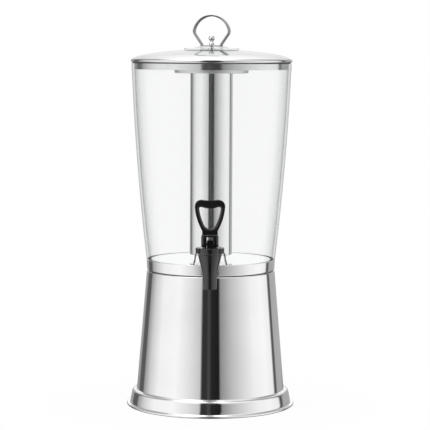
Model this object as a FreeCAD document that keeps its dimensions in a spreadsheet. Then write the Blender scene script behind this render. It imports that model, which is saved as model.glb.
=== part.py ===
import FreeCAD, Part
import math
import os
import Sketcher

# Cold drink dispenser: a clear flared container on a spun steel stand, with an
# ice tube hanging from its steel lid and a black lift-and-pour tap on its front.
# Millimetres, +Z up. The origin is on the stand's axis, on the table.
# The tap faces -Y.

doc = FreeCAD.newDocument("Dispenser")
sheet = doc.addObject("Spreadsheet::Sheet", "Sizes")

DRIVING = (
    # stand: spun cone with a stepped foot and a rolled lip
    ("standSheet", 1.2),
    ("lipRadius", 117.5),
    ("lipBottom", 0.5),
    ("lipTop", 3.4),
    ("lipOverhang", 5.2),
    ("footStraightTop", 8.0),
    ("footBellyRadius", 37.0),
    ("footTaper", 1.9),
    ("footTopLevel", 16.8),
    ("shoulderRound", 5.6),
    ("shoulderStep", 4.5),
    ("shoulderRise", 5.2),
    ("coneStep", 2.6),
    ("coneStepRise", 1.0),
    ("coneTopRadius", 89.6),
    ("standTop", 189.4),
    ("standTopRound", 1.6),
    ("ledgeWidth", 14.3),
    ("footRingWidth", 4.4),
    ("footRingInset", 0.4),
    # seat between stand and container
    ("seatGasketThick", 1.6),
    ("seatGasketInset", 2.0),
    ("seatGasketWidth", 7.5),
    # steel pan under the clear wall
    ("panSheet", 1.2),
    ("panFlare", 0.7),
    ("panInset", 0.3),
    ("panHeight", 14.8),
    ("panCorner", 2.0),
    ("floorDrop", 0.2),
    ("floorClearance", 0.5),
    # clear wall
    ("wallThick", 3.6),
    ("wallFootThick", 3.4),
    ("wallFit", 0.2),
    ("wallProud", 0.1),
    ("wallFlare", 21.2),
    ("wallBend", 3500.0),
    ("wallHeight", 273.3),
    ("bossHalfWidth", 23.8),
    ("bossArchRadius", 21.5),
    ("bossArchDrop", 1.1),
    ("bossDepth", 6.1),
    ("bossProud", 5.4),
    ("bossEdge", 1.5),
    # tap
    ("tapOverhang", 27.5),
    ("shankRise", 9.8),
    ("shankRadius", 6.5),
    ("shankHoleClearance", 0.3),
    ("nutFit", 0.05),
    ("shankProud", 11.0),
    ("inletRadius", 4.0),
    ("flangeRadius", 11.0),
    ("flangeThick", 3.0),
    ("barrelRadius", 8.8),
    ("outerWasherThick", 2.5),
    ("nutFlangeThick", 2.0),
    ("washerRadius", 9.6),
    ("nutFlats", 19.0),
    ("nutThick", 7.0),
    ("spoutDrop", 37.6),
    ("spoutRadius", 9.1),
    ("spoutNeckRadius", 9.8),
    ("spoutLength", 20.0),
    ("outletRadius", 6.2),
    ("outletLength", 25.0),
    ("neckWall", 3.4),
    ("bodyTopRadius", 16.0),
    ("bodyRise", 9.4),
    ("neckStep", 3.0),
    ("neckHeight", 5.0),
    ("bonnetRadius", 19.35),
    ("bonnetFootStep", 3.15),
    ("bonnetChamfer", 2.2),
    ("bonnetHeight", 9.0),
    ("bonnetEdge", 0.7),
    ("bonnetGrooves", 4.0),
    ("bonnetGrooveRadius", 2.1),
    ("bonnetFit", 0.3),
    ("stemRadius", 3.0),
    ("stemGuideClearance", 0.3),
    ("stemCollarRadius", 6.4),
    ("stemCollarThick", 2.0),
    ("cupClearance", 0.8),
    ("cupHeight", 5.6),
    ("cupLip", 1.6),
    ("springRadius", 5.2),
    ("springWire", 1.0),
    ("springTurns", 4.0),
    ("springFacets", 10.0),
    ("springSeatGap", 0.1),
    ("pinHeight", 5.2),
    ("pinRadius", 1.5),
    ("pinFit", 0.05),
    ("bladeThick", 6.0),
    ("slotClearance", 0.45),
    # lever of the tap: a loop over a fork with a cam foot
    ("camForward", 3.4),
    ("camRise", 2.85),
    ("camClearance", 0.15),
    ("forkWidth", 23.2),
    ("forkDepth", 11.0),
    ("forkBar", 3.2),
    ("slotWidth", 8.8),
    ("slotTop", 9.8),
    ("forkEdge", 1.2),
    ("loopDepth", 7.4),
    ("lobeAcross", 11.2),
    ("lobeLevel", 50.1),
    ("lobeRadius", 8.9),
    ("saddleDip", 1.0),
    ("sideBend", 48.0),
    ("sideStartAngle", 5.0),
    ("sideSlopeAngle", 20.7),
    ("sideBar", 5.6),
    ("eyeTopDrop", 2.8),
    ("eyeTopBend", 34.8),
    ("eyeBottomRadius", 7.6),
    ("eyeCorner", 2.2),
    ("loopEdge", 1.5),
    # lid
    ("lidRise", 19.2),
    ("lidCrownBend", 600.0),
    ("lidSlope", 20.4),
    ("lidEdgeBend", 60.0),
    ("beadStep", 3.0),
    ("lidEdgeRise", 7.0),
    ("beadProud", 1.1),
    ("beadRise", 3.7),
    ("beadUpperRound", 5.0),
    ("beadUndercut", 2.0),
    ("lidGasketThick", 1.1),
    ("lidGasketWidth", 3.4),
    ("skirtFit", 0.9),
    ("skirtDepth", 8.4),
    ("tubeFit", 0.1),
    ("lidSheet", 1.0),
    ("collarDepth", 6.5),
    ("linerThick", 1.2),
    ("linerFit", 0.1),
    ("gasketFit", 0.1),
    # ice tube
    ("tubeRadius", 29.5),
    ("tubeWall", 0.8),
    ("tubeFloorGap", 6.4),
    ("tubeEndThick", 1.2),
    ("tubeFlangeWidth", 22.0),
    ("tubeFlangeThick", 5.2),
    ("tubeEndBevel", 0.8),
    # clear cap with its strap handle
    ("brimWidth", 10.7),
    ("brimThick", 2.2),
    ("brimEdge", 0.9),
    ("brimSeat", 0.1),
    ("crownInset", 3.0),
    ("crownStep", 9.1),
    ("crownHeight", 2.4),
    ("crownBend", 16.0),
    ("capWall", 2.2),
    ("plugClearance", 0.7),
    ("plugDepth", 7.5),
    ("strapThick", 1.8),
    ("strapDepth", 12.0),
    ("strapArcRadius", 26.3),
    ("strapHeight", 43.5),
    ("strapSpreadAngle", 77.0),
    ("strapBend", 8.5),
    ("strapLegAngle", 34.5),
    ("strapFootInset", 0.6),
    ("strapFootBend", 2.6),
    ("strapTurnAngle", 13.0),
    ("screwRadius", 1.9),
    ("screwHeadRadius", 5.0),
    ("screwHeadThick", 2.4),
    ("screwFit", 0.15),
    ("screwSocketFit", 0.05),
    ("screwReach", 6.0),
    ("finialBall", 4.3),
    ("finialHeight", 9.4),
    ("finialFoot", 3.3),
    ("finialNeck", 2.45),
    ("finialConeHeight", 5.2),
)

# sizes that follow from the ones above
FOLLOWING = (
    ("footRadius", "=lipRadius - lipOverhang"),
    ("footTopRadius", "=footRadius - footTaper"),
    ("shoulderRadius", "=footTopRadius - shoulderStep"),
    ("shoulderLevel", "=footTopLevel + shoulderRise"),
    ("coneFootRadius", "=shoulderRadius - coneStep"),
    ("coneFootLevel", "=shoulderLevel + coneStepRise"),
    ("ledgeInnerRadius", "=coneTopRadius - ledgeWidth"),
    ("panFootRadius", "=coneTopRadius - panInset"),
    ("panTopRadius", "=panFootRadius + panFlare"),
    ("panTop", "=standTop + seatGasketThick + panHeight"),
    ("floorLevel", "=panTop - floorDrop"),
    ("wallFootRadius", "=panTopRadius + wallProud"),
    ("wallRimRadius", "=wallFootRadius + wallFlare"),
    ("wallTop", "=panTop + wallHeight"),
    ("shankLevel", "=panTop + shankRise"),
    ("bossArchLevel", "=shankLevel - bossArchDrop"),
    ("bossInner", "=wallFootRadius - bossDepth"),
    ("bossFace", "=wallFootRadius + bossProud"),
    ("tapReach", "=bossFace + tapOverhang"),
    ("shankEnd", "=bossInner - shankProud"),
    ("spoutBottom", "=shankLevel - spoutDrop"),
    ("spoutNeckLevel", "=spoutBottom + spoutLength"),
    ("seatLevel", "=spoutBottom + outletLength"),
    ("bodyTop", "=shankLevel + bodyRise"),
    ("neckRadius", "=bodyTopRadius - neckStep"),
    ("chamberRadius", "=neckRadius - neckWall"),
    ("cupRadius", "=chamberRadius - cupClearance"),
    ("bonnetFootRadius", "=bonnetRadius - bonnetFootStep"),
    ("forkTop", "=slotTop + forkBar"),
    ("saddleLevel", "=lobeLevel + lobeRadius - saddleDip"),
    ("eyeTopLevel", "=lobeLevel - eyeTopDrop"),
    ("lidCrown", "=wallTop + lidRise"),
    ("lidEdgeLevel", "=wallTop + lidEdgeRise"),
    ("beadRadius", "=wallRimRadius + beadProud"),
    ("beadLevel", "=wallTop + beadRise"),
    ("beadFootRadius", "=beadRadius - beadUndercut"),
    ("lidEdgeRadius", "=beadRadius - beadStep"),
    ("lidBreakRadius", "=beadRadius - lidSlope"),
    ("skirtRadius", "=wallRimRadius - wallThick - skirtFit"),
    ("skirtBottom", "=wallTop - skirtDepth"),
    ("openingRadius", "=tubeRadius - tubeWall - tubeFit - lidSheet"),
    ("tubeBottom", "=floorLevel + tubeFloorGap"),
    ("tubeFlangeRadius", "=tubeRadius + tubeFlangeWidth"),
    ("brimRadius", "=openingRadius + brimWidth"),
    ("crownRadius", "=openingRadius - crownInset"),
    ("crownTopRadius", "=crownRadius - crownStep"),
    ("strapFootHalf", "=crownTopRadius - strapFootInset"),
)

for row, (alias, number) in enumerate(DRIVING + FOLLOWING, start=1):
    sheet.set("A%d" % row, alias)
    sheet.set("B%d" % row, str(number))
    sheet.setAlias("B%d" % row, alias)
doc.recompute()


class Dim:
    # A length together with the spreadsheet formula it comes from.
    def __init__(self, text, value):
        self.text = text
        self.value = value

    def join(self, sign, other, value):
        return Dim("(%s %s %s)" % (self.text, sign, asDim(other).text), value)

    def __add__(self, other):
        return self.join("+", other, self.value + asDim(other).value)

    def __sub__(self, other):
        return self.join("-", other, self.value - asDim(other).value)

    def __mul__(self, other):
        return self.join("*", other, self.value * asDim(other).value)

    def __truediv__(self, other):
        return self.join("/", other, self.value / asDim(other).value)

    def __neg__(self):
        return Dim("(0 - %s)" % self.text, -self.value)


def asDim(thing):
    if isinstance(thing, Dim):
        return thing
    return Dim(repr(float(thing)), float(thing))


def size(alias):
    return Dim("Sizes." + alias, float(sheet.get(alias)))


def mm(alias):
    return size(alias).value


ZERO = Dim("0", 0.0)

# two places closer than this are one place; a cut takes away at least this volume
SAME = 1e-4
LEAST_CUT = 1.0


# ---- sketch helpers

def originPlane(body, role):
    return next(f for f in body.Origin.OriginFeatures if f.Role == role)


def newSketch(body, name, role, offset=None):
    sketch = body.newObject("Sketcher::SketchObject", name)
    sketch.AttachmentSupport = [(originPlane(body, role), "")]
    sketch.MapMode = "FlatFace"
    if offset is not None:
        sketch.AttachmentOffset = FreeCAD.Placement(
            FreeCAD.Vector(0, 0, offset.value), FreeCAD.Rotation())
        sketch.setExpression(".AttachmentOffset.Base.z", offset.text)
    return sketch


def holdPoint(sketch, geo, pos, x, y, tag):
    # Ties one end of a segment to its own distances from the sketch origin.
    for kind, axis, dim in (("DistanceX", -2, x), ("DistanceY", -1, y)):
        if abs(dim.value) < SAME:
            sketch.addConstraint(Sketcher.Constraint("PointOnObject", geo, pos, axis))
            continue
        if dim.value > 0:
            ends = (-1, 1, geo, pos)
            bound = dim
        else:
            ends = (geo, pos, -1, 1)
            bound = -dim
        index = sketch.addConstraint(Sketcher.Constraint(kind, *ends, bound.value))
        name = kind[-1].lower() + tag
        sketch.renameConstraint(index, name)
        sketch.setExpression(".Constraints." + name, bound.text)


def arcCentre(start, end, radius, turn):
    chord = end - start
    middle = (start + end) * 0.5
    rise = math.sqrt(radius ** 2 - (chord.Length / 2) ** 2)
    left = FreeCAD.Vector(-chord.y, chord.x, 0)
    left.normalize()
    return middle + left * (rise * turn)


def segment(sketch, start, end):
    return (sketch.addGeometry(Part.LineSegment(start, end), False), 1, 2)


def bentEdge(sketch, start, end, bend, turn, tag, guide=False):
    centre = arcCentre(start, end, bend.value, turn)
    circle = Part.Circle(centre, FreeCAD.Vector(0, 0, 1), bend.value)
    first, last = (start, end) if turn > 0 else (end, start)
    angles = [math.atan2(p.y - centre.y, p.x - centre.x) for p in (first, last)]
    if angles[1] < angles[0]:
        angles[1] += 2 * math.pi
    geo = sketch.addGeometry(Part.ArcOfCircle(circle, *angles), guide)
    index = sketch.addConstraint(Sketcher.Constraint("Radius", geo, bend.value))
    sketch.renameConstraint(index, "r" + tag)
    sketch.setExpression(".Constraints.r" + tag, bend.text)
    return (geo, 1, 2) if turn > 0 else (geo, 2, 1)


def chordRun(sketch, start, end, bend, turn, chords, tag):
    # Equal chords whose corners ride on a construction arc.
    centre = arcCentre(start, end, bend.value, turn)
    sweep = 2 * math.degrees(math.asin((end - start).Length / 2 / bend.value))
    corners = [start]
    for k in range(1, chords):
        swing = FreeCAD.Rotation(FreeCAD.Vector(0, 0, 1), turn * sweep * k / chords)
        corners.append(centre + swing.multVec(start - centre))
    corners.append(end)
    run = [segment(sketch, a, b) for a, b in zip(corners, corners[1:])]
    guide = bentEdge(sketch, start, end, bend, turn, tag, True)
    join(sketch, guide[0], guide[1], run[0][0], 1)
    join(sketch, guide[0], guide[2], run[-1][0], 2)
    for chord in run[1:]:
        sketch.addConstraint(Sketcher.Constraint("PointOnObject", chord[0], 1, guide[0]))
        sketch.addConstraint(Sketcher.Constraint("Equal", chord[0], run[0][0]))
    return run


def join(sketch, geoA, posA, geoB, posB):
    sketch.addConstraint(Sketcher.Constraint("Coincident", geoA, posA, geoB, posB))


def outline(sketch, points):
    # points: (x, y), then optionally the radius and the turn, left (1) or right
    # (-1), of an arc to the next point, then the chords that stand for that arc.
    chain = []
    corners = []
    for i, point in enumerate(points):
        after = points[(i + 1) % len(points)]
        start = FreeCAD.Vector(point[0].value, point[1].value, 0)
        end = FreeCAD.Vector(after[0].value, after[1].value, 0)
        corners.append(len(chain))
        if len(point) == 2:
            chain.append(segment(sketch, start, end))
        elif len(point) == 4:
            chain.append(bentEdge(sketch, start, end, point[2], point[3], str(i)))
        else:
            chain += chordRun(sketch, start, end, point[2], point[3], point[4], str(i))
    for edge, following in zip(chain, chain[1:] + chain[:1]):
        join(sketch, edge[0], edge[2], following[0], following[1])
    for i, point in enumerate(points):
        geo, startPos, endPos = chain[corners[i]]
        holdPoint(sketch, geo, startPos, point[0], point[1], str(i))


def circleAt(sketch, x, y, radius, tag=""):
    centre = FreeCAD.Vector(x.value, y.value, 0)
    geo = sketch.addGeometry(
        Part.Circle(centre, FreeCAD.Vector(0, 0, 1), radius.value), False)
    holdPoint(sketch, geo, 3, x, y, "c" + tag)
    index = sketch.addConstraint(Sketcher.Constraint("Radius", geo, radius.value))
    sketch.renameConstraint(index, "rc" + tag)
    sketch.setExpression(".Constraints.rc" + tag, radius.text)


# ---- body helpers

parts = []


def newBody(label):
    body = doc.addObject("PartDesign::Body", label)
    body.Label = label
    parts.append(body)
    return body


def place(piece, x=ZERO, y=ZERO, z=ZERO, tilt=0.0):
    # tilt turns the piece about X, so its own +Z points towards -Y at 90.
    piece.Placement = FreeCAD.Placement(
        FreeCAD.Vector(x.value, y.value, z.value),
        FreeCAD.Rotation(FreeCAD.Vector(1, 0, 0), tilt))
    for axis, dim in (("x", x), ("y", y), ("z", z)):
        piece.setExpression(".Placement.Base." + axis, dim.text)


def revolve(body, name, profile, kind="PartDesign::Revolution"):
    sketch = newSketch(body, name + "Sketch", "XZ_Plane")
    outline(sketch, profile)
    feature = body.newObject(kind, name)
    feature.Profile = sketch
    feature.ReferenceAxis = (sketch, ["V_Axis"])
    feature.Angle = 360
    return feature


def lathe(label, profile):
    body = newBody(label)
    revolve(body, label + "Turned", profile)
    return body


def ring(label, inner, outer, bottom, top):
    return lathe(label, [(inner, bottom), (outer, bottom), (outer, top), (inner, top)])


def prism(body, name, sketch, length, kind="PartDesign::Pad", back=False):
    feature = body.newObject(kind, name)
    feature.Profile = sketch
    feature.Length = length.value
    feature.setExpression("Length", length.text)
    feature.Reversed = back
    return feature


def edgeNames(shape, wanted):
    return ["Edge%d" % (i + 1) for i, edge in enumerate(shape.Edges) if wanted(edge)]


def bevelEdges(body, name, base, wanted, bevel):
    doc.recompute()
    feature = body.newObject("PartDesign::Chamfer", name)
    feature.Base = (base, edgeNames(base.Shape, wanted))
    feature.Size = bevel.value
    feature.setExpression("Size", bevel.text)
    return feature


# ---- stand

def standShell():
    t = size("standSheet")
    lipMiddle = (size("lipTop") + size("lipBottom")) / 2
    lipCore = size("lipRadius") - (size("lipTop") - size("lipBottom")) / 2
    top = size("standTop")
    coneTop = top - size("standTopRound")
    under = size("lipTop") - t
    return lathe("stand_shell", [
        (lipCore, size("lipBottom")),
        (size("lipRadius"), lipMiddle),
        (lipCore, size("lipTop")),
        (size("footRadius"), size("lipTop")),
        (size("footRadius"), size("footStraightTop"), size("footBellyRadius"), 1, 2),
        (size("footTopRadius"), size("footTopLevel"), size("shoulderRound"), 1, 2),
        (size("shoulderRadius"), size("shoulderLevel")),
        (size("coneFootRadius"), size("coneFootLevel")),
        (size("coneTopRadius"), coneTop, size("standTopRound"), 1, 2),
        (size("coneTopRadius") - size("standTopRound"), top),
        (size("ledgeInnerRadius"), top),
        (size("ledgeInnerRadius"), top - t),
        (size("coneTopRadius") - size("standTopRound"), top - t),
        (size("coneTopRadius") - t, coneTop),
        (size("coneFootRadius") - t, size("coneFootLevel") - t / 2),
        (size("footTopRadius") - t, size("footTopLevel") - t / 4),
        (size("footRadius") - t, size("footStraightTop")),
        (size("footRadius") - t, under),
        (lipCore, under),
    ])


def footRing():
    # rubber ring under the lip; it stands proud of the lip's lowest edge
    outer = size("lipRadius") - (size("lipTop") - size("lipBottom")) / 2 - size("footRingInset")
    return ring("foot_ring", outer - size("footRingWidth"), outer,
                ZERO, size("lipTop") - size("standSheet"))


def seatGasket():
    outer = size("coneTopRadius") - size("seatGasketInset")
    bottom = size("standTop")
    return ring("seat_gasket", outer - size("seatGasketWidth"), outer,
                bottom, bottom + size("seatGasketThick"))


# ---- container

def panBottom():
    return size("standTop") + size("seatGasketThick")


def panLedge():
    return panBottom() + size("panSheet")


def basePan():
    # one sheet: the band, a channel for the wall's foot, and the raised floor
    t = size("panSheet")
    bottom = panBottom()
    corner = size("panCorner")
    channel = footInner() - size("floorClearance")
    return lathe("base_pan", [
        (size("panTopRadius"), size("panTop")),
        (size("panFootRadius") - t, size("panTop")),
        (size("panFootRadius") - t, panLedge()),
        (channel, panLedge()),
        (channel, size("floorLevel")),
        (ZERO, size("floorLevel")),
        (ZERO, size("floorLevel") - t),
        (channel - t, size("floorLevel") - t),
        (channel - t, bottom),
        (size("panFootRadius") - corner, bottom),
        (size("panFootRadius"), bottom + corner),
    ])


def footOuter():
    return size("panFootRadius") - size("panSheet") - size("wallFit")


def footInner():
    return footOuter() - size("wallFootThick")


def containerWall():
    t = size("wallThick")
    step = size("panTop") + size("wallFit") / 2
    body = newBody("container_wall")
    shell = revolve(body, "WallTurned", [
        (footOuter(), panLedge()),
        (footOuter(), step),
        (size("wallFootRadius"), step, size("wallBend"), 1, 3),
        (size("wallRimRadius"), size("wallTop")),
        (size("wallRimRadius") - t, size("wallTop"), size("wallBend") - t, -1, 3),
        (size("wallFootRadius") - t, step),
        (footInner(), panLedge()),
    ])
    # flat-faced arch that carries the tap
    arch = newSketch(body, "BossSketch", "XZ_Plane", size("bossInner"))
    outline(arch, [
        (-size("bossHalfWidth"), step),
        (size("bossHalfWidth"), step),
        (size("bossArchRadius"), size("bossArchLevel"), size("bossArchRadius"), 1),
        (ZERO, size("bossArchLevel") + size("bossArchRadius"), size("bossArchRadius"), 1),
        (-size("bossArchRadius"), size("bossArchLevel")),
    ])
    boss = prism(body, "Boss", arch, size("bossFace") - size("bossInner"))
    soft = bevelEdges(body, "BossEdge", boss, bossRim, size("bossEdge"))
    hole = newSketch(body, "ShankHoleSketch", "XZ_Plane")
    circleAt(hole, ZERO, size("shankLevel"),
             size("shankRadius") + size("shankHoleClearance"))
    cut = body.newObject("PartDesign::Pocket", "ShankHole")
    cut.Profile = hole
    cut.Type = 1
    cut.Reversed = True
    doc.recompute()
    if cut.Shape.Volume > soft.Shape.Volume - LEAST_CUT:
        raise RuntimeError("the shank hole cuts nothing")
    return body


def bossRim(edge):
    # The arch and its two sides on the boss's front face, not its bottom edge.
    box = edge.BoundBox
    onFace = box.YLength < SAME and abs(box.YMin + mm("bossFace")) < SAME
    return onFace and box.ZLength > SAME


# ---- tap, fixed pieces

def bodyProfile():
    top = size("bodyTop")
    return [
        (ZERO, size("spoutBottom")),
        (size("spoutRadius"), size("spoutBottom")),
        (size("spoutNeckRadius"), size("spoutNeckLevel")),
        (size("bodyTopRadius"), top - size("bonnetEdge")),
        (size("bodyTopRadius"), top),
        (size("neckRadius"), top),
        (size("neckRadius"), top + size("neckHeight")),
        (ZERO, top + size("neckHeight")),
    ]


def tapBody():
    body = newBody("tap_body")
    revolve(body, "TapTurned", bodyProfile())
    flangeAt = size("tapReach") - size("bossFace") - size("outerWasherThick")
    stretches = (
        ("Barrel", "barrelRadius", ZERO, flangeAt),
        ("Flange", "flangeRadius", flangeAt - size("flangeThick"), size("flangeThick")),
        ("Shank", "shankRadius", flangeAt, size("tapReach") - size("shankEnd") - flangeAt),
    )
    for name, radius, start, length in stretches:
        sketch = newSketch(body, name + "Sketch", "XZ_Plane", -start)
        circleAt(sketch, ZERO, size("shankLevel"), size(radius))
        prism(body, name, sketch, length, back=True)
    chamberTop = size("bodyTop") + size("neckHeight")
    revolve(body, "Chamber", [
        (ZERO, size("seatLevel")),
        (size("chamberRadius"), size("seatLevel")),
        (size("chamberRadius"), chamberTop),
        (ZERO, chamberTop),
    ], "PartDesign::Groove")
    revolve(body, "Outlet", [
        (ZERO, size("spoutBottom")),
        (size("outletRadius"), size("spoutBottom")),
        (size("outletRadius"), size("seatLevel")),
        (ZERO, size("seatLevel")),
    ], "PartDesign::Groove")
    inlet = newSketch(body, "InletSketch", "XZ_Plane")
    circleAt(inlet, ZERO, size("shankLevel"), size("inletRadius"))
    prism(body, "Inlet", inlet, size("tapReach") - size("shankEnd"),
          "PartDesign::Pocket")
    place(body, y=-size("tapReach"))
    return body


def tapBonnet():
    bottom = size("bodyTop")
    top = bottom + size("bonnetHeight")
    body = newBody("tap_bonnet")
    roof = bottom + size("neckHeight") + size("bonnetFit")
    guide = size("stemRadius") + size("stemGuideClearance")
    turned = revolve(body, "BonnetTurned", [
        (guide, roof),
        (guide, top),
        (size("bonnetRadius") - size("bonnetEdge"), top),
        (size("bonnetRadius"), top - size("bonnetEdge")),
        (size("bonnetRadius"), bottom + size("bonnetChamfer")),
        (size("bonnetFootRadius"), bottom),
        (size("neckRadius") + size("bonnetFit"), bottom),
        (size("neckRadius") + size("bonnetFit"), roof),
    ])
    groove = newSketch(body, "GrooveSketch", "XY_Plane", bottom)
    across = size("bonnetRadius") / Dim("sqrt(2)", math.sqrt(2))
    circleAt(groove, across, -across, size("bonnetGrooveRadius"))
    cut = prism(body, "Groove", groove, size("bonnetHeight"),
                "PartDesign::Pocket", back=True)
    doc.recompute()
    if cut.Shape.Volume > turned.Shape.Volume - LEAST_CUT:
        raise RuntimeError("the grip groove cuts nothing")
    pattern = body.newObject("PartDesign::PolarPattern", "Grooves")
    pattern.Originals = [cut]
    pattern.Axis = (groove, ["N_Axis"])
    pattern.Angle = 360
    pattern.Occurrences = int(mm("bonnetGrooves"))
    pattern.setExpression("Occurrences", "Sizes.bonnetGrooves")
    body.Tip = pattern
    place(body, y=-size("tapReach"))
    return body


def outerWasher():
    body = ring("tap_washer_outer", size("shankRadius") + size("shankHoleClearance"),
                size("washerRadius"), size("bossFace"),
                size("bossFace") + size("outerWasherThick"))
    place(body, z=size("shankLevel"), tilt=90)


def shankNut():
    # flanged nut that draws the shank against the inside of the boss
    body = newBody("shank_nut")
    bore = size("shankRadius") + size("nutFit")
    flangeFace = size("bossInner") - size("nutFlangeThick")
    plate = newSketch(body, "PlateSketch", "XY_Plane", flangeFace)
    circleAt(plate, ZERO, ZERO, size("washerRadius"))
    circleAt(plate, ZERO, ZERO, bore, "bore")
    prism(body, "Plate", plate, size("nutFlangeThick"))
    sketch = newSketch(body, "NutSketch", "XY_Plane", flangeFace - size("nutThick"))
    across = size("nutFlats") / 2
    corner = size("nutFlats") / Dim("sqrt(3)", math.sqrt(3))
    outline(sketch, [
        (corner, ZERO),
        (corner / 2, across),
        (-corner / 2, across),
        (-corner, ZERO),
        (-corner / 2, -across),
        (corner / 2, -across),
    ])
    circleAt(sketch, ZERO, ZERO, bore, "bore")
    prism(body, "Nut", sketch, size("nutThick"))
    place(body, z=size("shankLevel"), tilt=90)


# ---- tap, moving pieces

def bonnetTop():
    return size("bodyTop") + size("bonnetHeight")


def pinLevel():
    return bonnetTop() + size("pinHeight")


def collarTop():
    return size("seatLevel") + size("cupHeight") + size("stemCollarThick")


def tapStem():
    body = newBody("tap_stem")
    cupTop = collarTop() - size("stemCollarThick")
    revolve(body, "StemTurned", [
        (ZERO, cupTop),
        (size("stemCollarRadius"), cupTop),
        (size("stemCollarRadius"), collarTop()),
        (size("stemRadius"), collarTop()),
        (size("stemRadius"), pinLevel()),
        (ZERO, pinLevel()),
    ])
    # flat blade with the pin's eye, between the cheeks of the fork
    blade = newSketch(body, "BladeSketch", "YZ_Plane", -(size("slotWidth") / 2
                                                         - size("slotClearance")))
    half = size("bladeThick") / 2
    outline(blade, [
        (-half, bonnetTop() + size("stemGuideClearance")),
        (half, bonnetTop() + size("stemGuideClearance")),
        (half, pinLevel() + half / 2, half, 1),
        (ZERO, pinLevel() + half * 1.5, half, 1),
        (-half, pinLevel() + half / 2),
    ])
    prism(body, "Blade", blade, size("slotWidth") - size("slotClearance") * 2)
    eye = newSketch(body, "EyeSketch", "YZ_Plane")
    circleAt(eye, ZERO, pinLevel(), size("pinRadius") + size("pinFit"))
    cut = prism(body, "Eye", eye, size("slotWidth") * 2, "PartDesign::Pocket")
    cut.Midplane = True
    place(body, y=-size("tapReach"))
    return body


def seatCup():
    bottom = size("seatLevel")
    top = bottom + size("cupHeight")
    body = lathe("seat_cup", [
        (ZERO, bottom + size("cupLip")),
        (size("outletRadius") - size("cupLip"), bottom + size("cupLip")),
        (size("outletRadius"), bottom),
        (size("cupRadius"), bottom),
        (size("cupRadius"), bottom + size("cupLip")),
        (size("stemCollarRadius"), top),
        (ZERO, top),
    ])
    place(body, y=-size("tapReach"))


def springCorner(swing, across, up):
    # a corner of the square wire, at a turn about the coil's axis
    reach = mm("springRadius") + across
    return FreeCAD.Vector(reach * math.cos(swing), reach * math.sin(swing), up)


def returnSpring():
    bottom = collarTop().value + mm("springSeatGap")
    top = mm("bodyTop") + mm("neckHeight") + mm("bonnetFit") - mm("springSeatGap")
    half = mm("springWire") / 2
    steps = int(mm("springTurns") * mm("springFacets"))
    climb = (top - bottom - 2 * half) / steps
    sections = []
    for i in range(steps + 1):
        swing = 2 * math.pi * i / mm("springFacets")
        level = half + climb * i
        corners = [springCorner(swing, across, level + up)
                   for across, up in ((-half, -half), (half, -half), (half, half), (-half, half))]
        sections.append(Part.makePolygon(corners + corners[:1]))
    spring = doc.addObject("Part::Feature", "return_spring")
    spring.Label = "return_spring"
    spring.Shape = Part.makeLoft(sections, True, True)
    place(spring, y=-size("tapReach"), z=collarTop() + size("springSeatGap"))
    parts.append(spring)


def pivotPin():
    half = size("forkWidth") / 2
    edge = size("pinRadius") / 3
    body = lathe("pivot_pin", [
        (ZERO, ZERO),
        (size("pinRadius") - edge, ZERO),
        (size("pinRadius"), edge),
        (size("pinRadius"), size("forkWidth") - edge),
        (size("pinRadius") - edge, size("forkWidth")),
        (ZERO, size("forkWidth")),
    ])
    body.Placement = FreeCAD.Placement(
        FreeCAD.Vector(-half.value, -mm("tapReach"), pinLevel().value),
        FreeCAD.Rotation(FreeCAD.Vector(0, 1, 0), 90))
    for axis, dim in (("x", -half), ("y", -size("tapReach")), ("z", pinLevel())):
        body.setExpression(".Placement.Base." + axis, dim.text)


def flat(x, z):
    return FreeCAD.Vector(x, 0, z)


def polar(centre, radius, degrees):
    turn = math.radians(degrees)
    return centre + flat(radius * math.cos(turn), radius * math.sin(turn))


def arc(centre, radius, fromDegrees, toDegrees):
    middle = polar(centre, radius, (fromDegrees + toDegrees) / 2)
    return Part.Arc(polar(centre, radius, fromDegrees), middle,
                    polar(centre, radius, toDegrees)).toShape()


def line(start, end):
    return Part.makeLine(start, end)


def mirrored(edges):
    # the same edges on the other side of the YZ plane, in running order
    plane = FreeCAD.Vector(1, 0, 0)
    return [edge.mirror(FreeCAD.Vector(), plane) for edge in reversed(edges)]


def sideCentre():
    # centre of the long side bend, inside which the lobe's arc is tangent
    lobe = flat(-mm("lobeAcross"), mm("lobeLevel"))
    return polar(lobe, mm("sideBend") - mm("lobeRadius"), mm("sideStartAngle"))


def sideEnd(radius):
    # where the side bend runs out into its straight leg
    return polar(sideCentre(), radius, 180 + mm("sideSlopeAngle"))


def loopOutside():
    lobe = flat(-mm("lobeAcross"), mm("lobeLevel"))
    dip = mm("saddleLevel") - mm("lobeLevel")
    radius = mm("lobeRadius")
    saddle = (mm("lobeAcross") ** 2 / (radius - dip) - radius - dip) / 2
    lean = math.degrees(math.atan2(mm("lobeAcross"), saddle + dip))
    saddleCentre = flat(0, mm("saddleLevel") + saddle)
    leg = sideEnd(mm("sideBend"))
    neck = (leg.z - mm("slotTop")) * math.tan(math.radians(mm("sideSlopeAngle")))
    foot = flat(leg.x + neck, mm("slotTop"))
    left = [
        arc(saddleCentre, saddle, 270, 270 - lean),
        arc(lobe, radius, 90 - lean, 180 + mm("sideStartAngle")),
        arc(sideCentre(), mm("sideBend"), 180 + mm("sideStartAngle"), 180 + mm("sideSlopeAngle")),
        line(leg, foot),
    ]
    across = line(foot, flat(-foot.x, foot.z))
    return Part.Wire(Part.__sortEdges__(left + [across] + mirrored(left)))


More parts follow.
